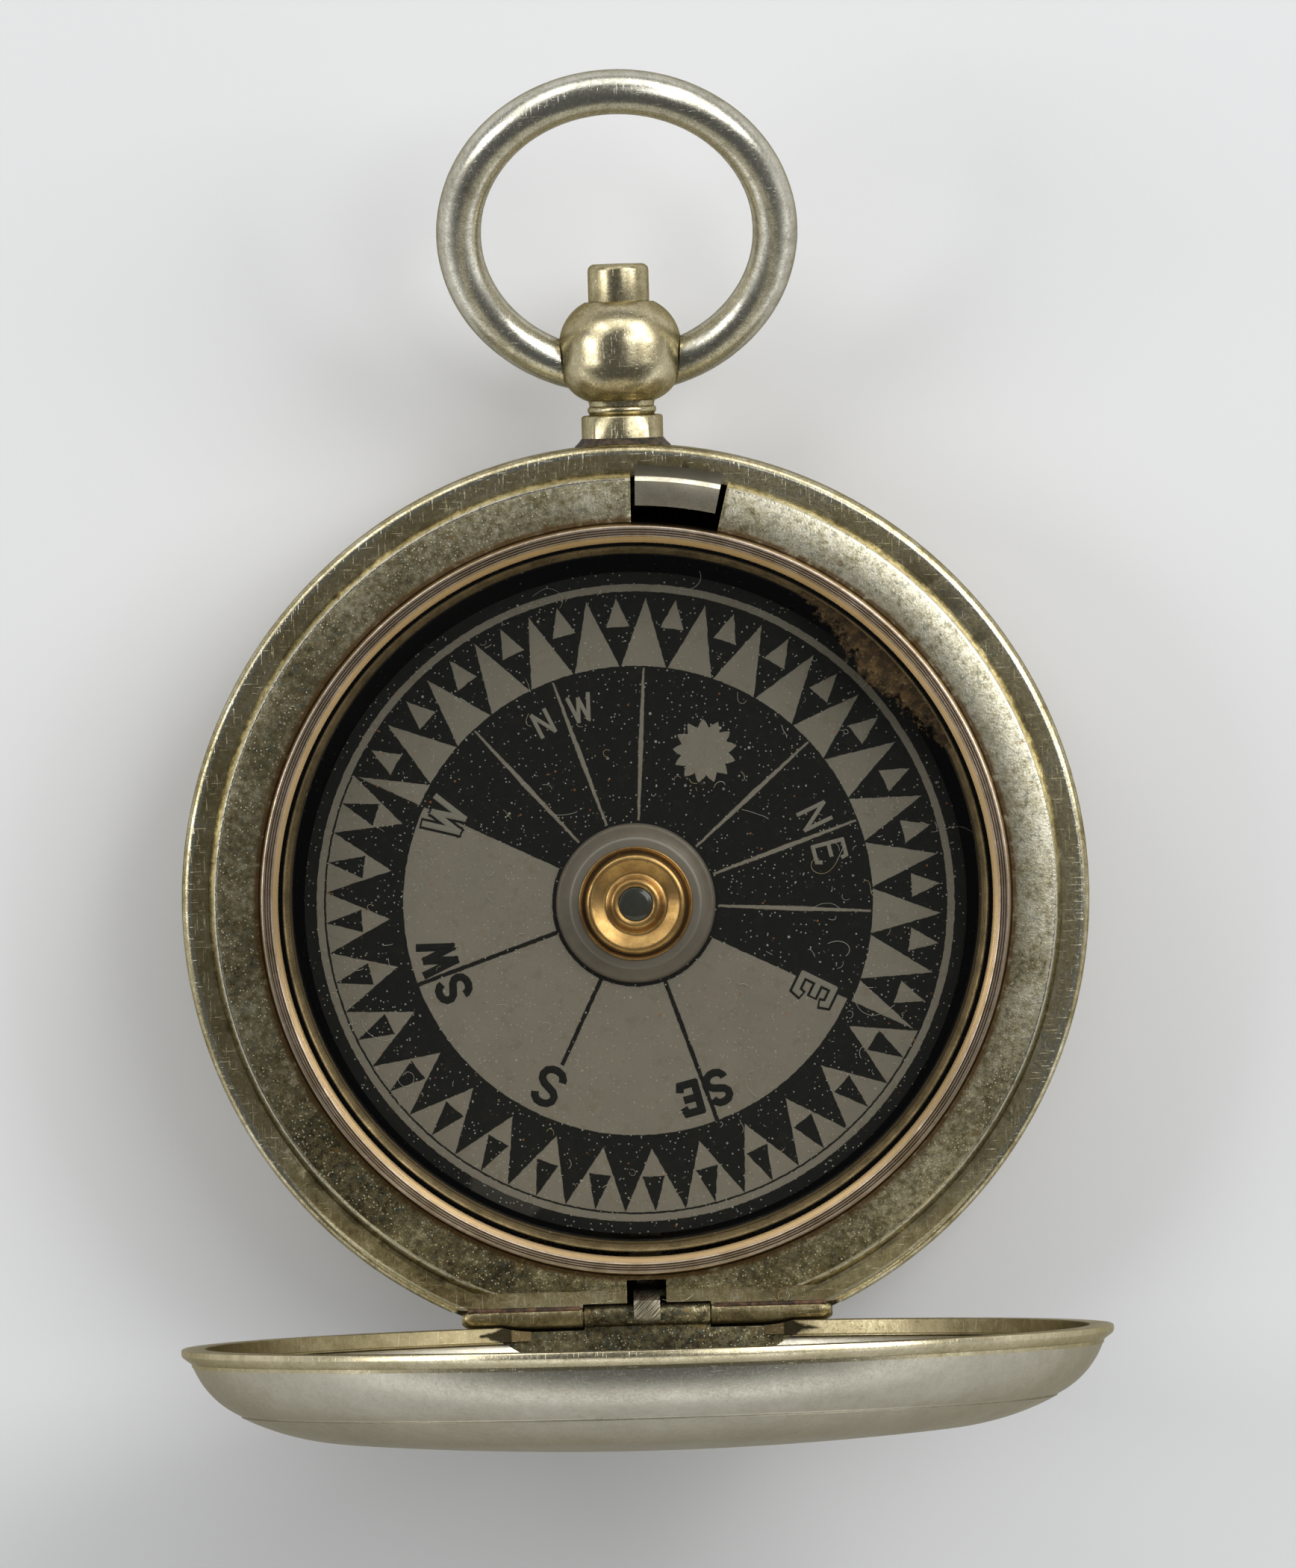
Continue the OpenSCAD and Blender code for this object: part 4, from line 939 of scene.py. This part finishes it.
def drawn(name, strokes, radius, detail=0, caps=False):
    """Round bars along lists of (x, y, z, thickness) points, as one mesh."""
    line = bpy.data.curves.new(name, "CURVE")
    line.dimensions, line.bevel_depth, line.bevel_resolution = "3D", radius, detail
    line.use_fill_caps = caps
    for points in strokes:
        spline = line.splines.new("POLY")
        spline.points.add(len(points) - 1)
        for point, (x, y, z, thick) in zip(spline.points, points):
            point.co, point.radius = (x, y, z, 1), thick
    piece = bpy.data.objects.new(name, line)
    bpy.context.scene.collection.objects.link(piece)
    activate(piece)
    bpy.ops.object.convert(target="MESH")
    return bpy.context.object


def bars(shape, height, stroke):
    """Cuts the sharp letters into single bars that run past their corners, which stay thick so."""
    if shape == "S":
        return [[(u * height, v * height) for u, v in S_CURVE]]
    cut = []
    for points in STROKES[shape]:
        for a, b in zip(points, points[1:]):
            length = math.dist(a, b) * height
            more = [(b[i] - a[i]) * height / length * stroke * 0.35 for i in (0, 1)]
            cut.append([tuple(end[i] * height + sign * more[i] for i in (0, 1))
                        for end, sign in ((a, -1), (b, 1))])
    return cut


def letter(name, shape, radius, heading, height, width, paint, lift=0.0):
    """A letter on the card, with its top outwards, at a heading clockwise from north."""
    across = [u for points in STROKES[shape] for u, v in points]
    middle = (min(across) + max(across)) / 2
    piece = drawn(name, [[(u - middle * height, v - 0.5 * height, 0, 1) for u, v in points]
                         for points in bars(shape, height, width)], width / 2, 2, True)
    piece.scale = (1, 1, PAINT_DEPTH / width)
    bpy.ops.object.transform_apply(scale=True)
    turn = NORTH_TURN + heading
    place = (PIVOT[0] + radius * math.sin(math.radians(turn)),
             PIVOT[1] + radius * math.cos(math.radians(turn)), PAINT_Z + lift)
    return finish_piece(piece, "card", None, paint, 0, 50, place=place, turn=(0, 0, -turn))


PALE_LETTERS = (("N", 10.26, -51.6, 1.2), ("W", 10.28, -40.1, 1.25),
                ("N", 10.09, 39.7, 1.45), ("E", 10.19, 50.7, 1.55))
BLACK_LETTERS = (("W", 10.41, -129.7, 1.65), ("S", 10.22, -139.7, 1.55), ("S", 10.32, 180.9, 1.8),
                 ("S", 10.27, 131.5, 1.55), ("E", 10.31, 140.0, 1.45))
BORDER_LETTERS = (("W", 10.58, -90.1, 1.75), ("E", 10.11, 91.5, 1.75))
for number, values in enumerate(PALE_LETTERS):
    letter("letter_pale_%d" % number, *values, 0.2, grey_paint)
for number, values in enumerate(BLACK_LETTERS):
    letter("letter_black_%d" % number, *values, 0.4, black_paint)
for number, values in enumerate(BORDER_LETTERS):
    letter("letter_border_%d_outline" % number, *values, 0.56, black_paint)
    letter("letter_border_%d" % number, *values, 0.3, grey_paint, 0.012)
print("letters made")

# %% [markdown]
# Old lint lies under the glass and at the hinge. Each fibre is a thin curly thread, and all of
# them are made as one piece from a seeded random walk, so that they come out the same each time.

# %% Lint
def thread_finish(name):
    f = Finish(name)
    colour = f.mix(f.noise(0.4).above(0.58, 0.1), (0.55, 0.53, 0.46), (0.50, 0.37, 0.18))
    return f.surface(colour, 0.7, 0.0, f.bump(f.noise(6.0), 0.01), 0.0, 0.3)


def lint(name, body, count, seed, spot, lengths, radius, spread=1.0):
    """Threads that each start at a spot and wander in a plane."""
    chance = random.Random(seed)
    threads = []
    for _ in range(count):
        x, y, z = spot(chance)
        length = chance.uniform(*lengths) * chance.uniform(0.4, 1.0)
        steps = 4 + int(length * 6)
        way, bend = chance.uniform(0, 2 * math.pi), chance.uniform(-1, 1) * 0.45 * spread
        thick = chance.uniform(0.5, 1.0)
        threads.append([])
        for k in range(steps):
            threads[-1].append((x, y, z + 0.02 * math.sin(k), thick))
            bend += chance.uniform(-0.25, 0.25) * spread
            way += bend
            x, y = x + math.cos(way) * length / steps, y + math.sin(way) * length / steps
    return finish_piece(drawn(name, threads, radius), body, None, lint_finish, 0, 60)


def on_card(chance):
    r, t = 4.3 + 11.9 * math.sqrt(chance.random()), chance.uniform(0, 2 * math.pi)
    return r * math.cos(t), r * math.sin(t) + PIVOT[1], 7.09


def on_hinge(chance):
    return chance.uniform(0.5, 7.5), -20.0 - chance.random() * 0.5, CASE_H + 0.012


lint_finish = thread_finish("lint")
lint("card_lint", "card", 150, 5, on_card, (0.2, 1.2), 0.013)
lint("card_long_lint", "card", 12, 8, on_card, (2.0, 4.0), 0.013, 0.35)
lint("hinge_lint", "case", 6, 3, on_hinge, (1.5, 3.0), 0.016, 0.5)

# %% [markdown]
# ## Pendant, button and bow
# The pendant is turned as one piece with a collar, a bead and a ball, and is drilled through
# for the button's stem. It is turned about Z here and then laid along Y.

# %% Pendant
PENDANT_Z = 6.2
BALL_Y = 27.6
BALL_WAIST = 0.45
BALL_R = 3.1
LAID_DOWN = {"place": (0, 0, PENDANT_Z), "turn": (-90, 0, 0)}
low, high = rising(2.4 - BALL_WAIST, 1.4), rising(2.6 - BALL_WAIST, 1.3)
outline = [(0, 22.4), (2.07, 22.4), (2.07, 24.36), (2.03, 24.44),
           (1.95, 24.48), (1.72, 24.5), (1.66, 24.53)]
outline += rounded((1.52, 24.75), 0.23, -60, 60, 6) + [(1.64, 25.0), (1.66, 25.08), (1.7, 25.2)]
outline += arc((1.7, 25.2), (BALL_R, BALL_Y - BALL_WAIST), low, 12)
outline += [(BALL_R, BALL_Y - BALL_WAIST)]
outline += arc((BALL_R, BALL_Y + BALL_WAIST), (1.8, 30.2), high, 14)
outline += [(1.8, 30.2), (1.76, 30.23), (0, 30.23)]
pendant = turned("pendant_turned", outline, 128)
combine(pendant, rod("Z", (0, 0, 26.5), 0.84, 9))
combine(pendant, rod("Z", (0, 0, 30.42), 1.59, 4))
for side in (-1, 1):
    combine(pendant, rod("X", (side * 2.85, 0, BALL_Y), 0.59, 1.6))
combine(pendant, rod("Y", (0, 0, 0), 23.02, 60, 512))
finish_piece(pendant, "case", ["pendant"], pendant_metal, 0.03, 38, **LAID_DOWN)

# %% Button
outline = [(0, 20.94), (0.45, 20.94), (0.8, 21.29), (0.8, 28.95), (1.55, 28.95)]
outline += rounded((1.2, 31.8), 0.35, 0, 90, 8) + [(0, 32.17)]
turn_piece("push_button_turned", outline, 96, "button", "push_button", pendant_metal, 0.03, 38,
           **LAID_DOWN)

# %% [markdown]
# Old solder shows as a dark line where the pendant's collar meets the round side of the case.
# A thin ring is cut off along the case's cylinder, so that only its flared foot is left.

# %% Solder at the pendant
outline = [(1.9, 22.3), (2.62, 22.3), (2.42, 22.95), (2.24, 23.12),
           (2.1, 23.3), (2.05, 23.34), (1.9, 23.34)]
seam = turned("pendant_solder", outline, 96)
combine(seam, rod("Y", (0, 0, 0), 22.98, 60, 512))
finish_piece(seam, "case", None, solder_seam, 0, **LAID_DOWN)

# %% [markdown]
# The bow is a round wire ring whose ends are hollowed to clear the ball, with a thin pin at
# each end that turns in the ball. Friction lets it stand where it is put.

# %% Bow
BOW_R, WIRE_R, BOW_LEAN, BOW_DROP = 8.0, 1.135, 28, 0.4
BOW_END, BOW_GAP, CLEARANCE = 3.15, 2.7, 0.065
centre = math.sqrt(BOW_R ** 2 - BOW_END ** 2) - BOW_DROP
bow = turned("bow_ring", rounded((BOW_R, 0), WIRE_R, 0, 345, 23), 256)
activate(bow)
bow.location = (0, centre, 0)
bpy.ops.object.transform_apply(location=True)
combine(bow, block((-BOW_GAP, BOW_GAP), (centre - 11, centre), (-3, 3)))
deselect()
bpy.ops.mesh.primitive_uv_sphere_add(segments=128, ring_count=64, radius=BALL_R + CLEARANCE)
combine(bow, bpy.context.object)
for side in (-1, 1):
    combine(bow, rod("X", (side * 3.2, 0, 0), 0.55, 2.1), "UNION")
finish_piece(bow, "bow", ["bow"], ring_metal, 0.05, 50,
             place=(0, BALL_Y, PENDANT_Z), turn=(BOW_LEAN, 0, 0))

# %% [markdown]
# ## The lid
# The lid is a pressed dome soldered to a turned rim. Both are made shut, where their heights
# are easy to read, and then opened by 87.5 degrees about the hinge.

# %% Lid sizes
RIM_Z = 9.05
OPEN = {"turn": (87.5, 0, 0), "about": (0, -HINGE_Y, HINGE_Z)}


def hinge_space(piece):
    """Cuts the lid off along the hinge and round its knuckles."""
    combine(piece, block(ACROSS, (-FAR, -21.5), (8, 16)))
    combine(piece, block((-7.37, 7.37), (-FAR, -20.98), (8, 16)))
    combine(piece, hinge_groove(9.55, KNUCKLE_R + 0.15))
    return piece


def dome_line(w):
    """The dome's section, moved inwards by w, with a scribed line on its outside."""
    foot, crease = (22.5 - w, 0.74 if w == 0 else 0.9), (20.25 - 0.75 * w, 3.3 - 0.75 * w)
    shoulder, top = (15.5, 4.8 - w), (0, 5.55 - w)
    scribed = [] if w else [crease, (20.16, 3.28), (20.1, 3.36)]
    step = crease if w else (20.13, 3.42)
    points = arc(foot, crease, 0.1) + scribed + arc(step, shoulder, 0.048)
    points += arc(shoulder, top, rising(15.5, 0.75), 20) + [top]
    return [(r, z + RIM_Z) for r, z in points]

# %% Lid rim and dome
rim_outline = [(21.8, 0.04), (21.84, 0), (22.9, 0), (22.97, 0.03), (23.0, 0.1), (23.0, 0.3),
               (22.93, 0.42), (22.52, 0.72), (22.48, 0.9), (22.3, 0.9),
               (22.3, 0.75), (21.84, 0.75), (21.8, 0.71)]
rim = hinge_space(turned("lid_rim_turned", [(r, z + RIM_Z) for r, z in rim_outline], 320))
finish_piece(rim, "lid", ["lid_rim"], rim_metal, 0, 30, **OPEN)
dome = hinge_space(turned("lid_dome_pressed", dome_line(0) + dome_line(0.35)[::-1], 320))
finish_piece(dome, "lid", ["lid_dome"], lid_metal, 0, 30, **OPEN)

# %% [markdown]
# ## The hinge
# A flat wall closes the lid along the hinge and carries the middle knuckle. The two outer
# knuckles are soldered to the band and have rounded ends.

# %% Hinge
dressed("lid_hinge_plate", "lid_hinge_wall", "lid", hinge_plate_metal, 0.05)


KNUCKLE = [(0.3, 3.25), (0.56, 3.25), (KNUCKLE_R, 3.29), (KNUCKLE_R, 8.7), (0.585, 8.88),
           (0.54, 9.05), (0.47, 9.2), (0.38, 9.33), (0.3, 9.4)]
for side, hand in ((1, "right"), (-1, "left")):
    node = "hinge_knuckle_%s" % hand
    turn_piece(node + "_turned", KNUCKLE, 48, "case", node, knuckle_metal, 0, 40,
               place=(0, -HINGE_Y, HINGE_Z), turn=(0, side * 90, 0))
for side, hand in ((-1, "left"), (1, "right")):
    seam = rod("X", (side * 6.25, -20.72, 8.99), 0.13, 5.7, 16)
    seam.name = "hinge_solder_%s" % hand
    finish_piece(seam, "case", None, brown_solder, 0.04, 40)

# %% Catch and lid spring
dressed("catch_spring", "catch_filed", "catch", hook_metal_shaded_top, 0.06)
dressed("lid_spring", "lid_spring_filed", "lid_spring", finger_metal, 0.04)

# %% [markdown]
# The pieces under the card keep their CAD shapes, because they are plain turned and filed
# parts that never show. They still get their own metals.

# %% Hidden pieces
for names, material in (
        (("pivot_post", "lifter_bracket", "card_lifter"), brass_metal),
        (("pivot_needle", "lifter_pin", "catch_screw", "lid_spring_screw", "hinge_pin"), steel_metal),
        (("magnet_bar",), blued_metal)):
    for name in names:
        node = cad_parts[name]
        node.data.materials.clear()
        node.data.materials.append(material)
print("hidden pieces have their metals")

# %% [markdown]
# ## Floor and light
# The compass lies on a wide pale sheet.

# %% Floor
def make_floor():
    f = Finish("pale_floor")
    colour = f.mix(f.noise(0.05, 2), (0.725, 0.728, 0.735), (0.71, 0.713, 0.72))
    f.surface(colour, 0.55, 0.0, None, 0.0, 0.3)
    deselect()
    bpy.ops.mesh.primitive_plane_add(size=3.0, location=(0, 0, 0))
    floor = bpy.context.object
    floor.name = "floor"
    floor.data.materials.append(f.material)
    return floor


floor = make_floor()

# %% [markdown]
# Most of the light comes from beyond the pendant, from one very wide soft box and two square
# ones, so the standing lid throws its soft shadow to the other side. Two smaller boxes at the
# left and the right make the bright spots on the ball and along the bow, and one high up
# lights the right of the plate. The room is dim, with a pale wall low down in front of the
# lid, which the lid's outside mirrors.

# %% Lights
def soft_box(name, place, size, power):
    """A rectangular lamp that faces the compass."""
    light = bpy.data.lights.new(name, "AREA")
    light.shape, light.size, light.size_y = "RECTANGLE", size[0], size[1]
    light.energy = power
    box = bpy.data.objects.new(name, light)
    bpy.context.scene.collection.objects.link(box)
    box.location = place
    box.rotation_euler = (-box.location).to_track_quat("-Z", "Y").to_euler()
    return box


for lamp in (
        ("top_box", (0.0, 0.8, 0.5), (1.5, 0.5), 5.2),
        ("top_left_box", (-0.5, 0.5, 0.5), (0.4, 0.4), 1.0),
        ("top_right_box", (0.5, 0.5, 0.5), (0.4, 0.4), 2.0),
        ("left_box", (-0.545, 0.1, 0.36), (0.22, 0.28), 1.2),
        ("right_box", (0.52, 0.18, 0.38), (0.22, 0.28), 1.3),
        ("high_box", (0.32, 0.22, 0.68), (0.3, 0.3), 1.0)):
    soft_box(*lamp)


class Room(Finish):
    """The surroundings, written as a formula of the direction one looks in."""
    def __init__(self, name):
        world = bpy.context.scene.world = bpy.data.worlds.new(name)
        world.use_nodes = True
        self.tree = world.node_tree
        self.place = self.node("ShaderNodeTexCoord", {}, {}, "Generated")


room = Room("studio_room")
_, y, z = room.axes()
low = ((0.5 - z) * 2.8).clamp()
front = ((0.15 - y) * 2.0).clamp()
background = room.tree.nodes["Background"]
room.feed(background.inputs["Color"], (0.98, 0.99, 1.0))
room.feed(background.inputs["Strength"], low * (front * 1.2 + 0.15) + 0.1)
bpy.context.scene.view_settings.view_transform = "Standard"
print("floor, soft boxes and room made")
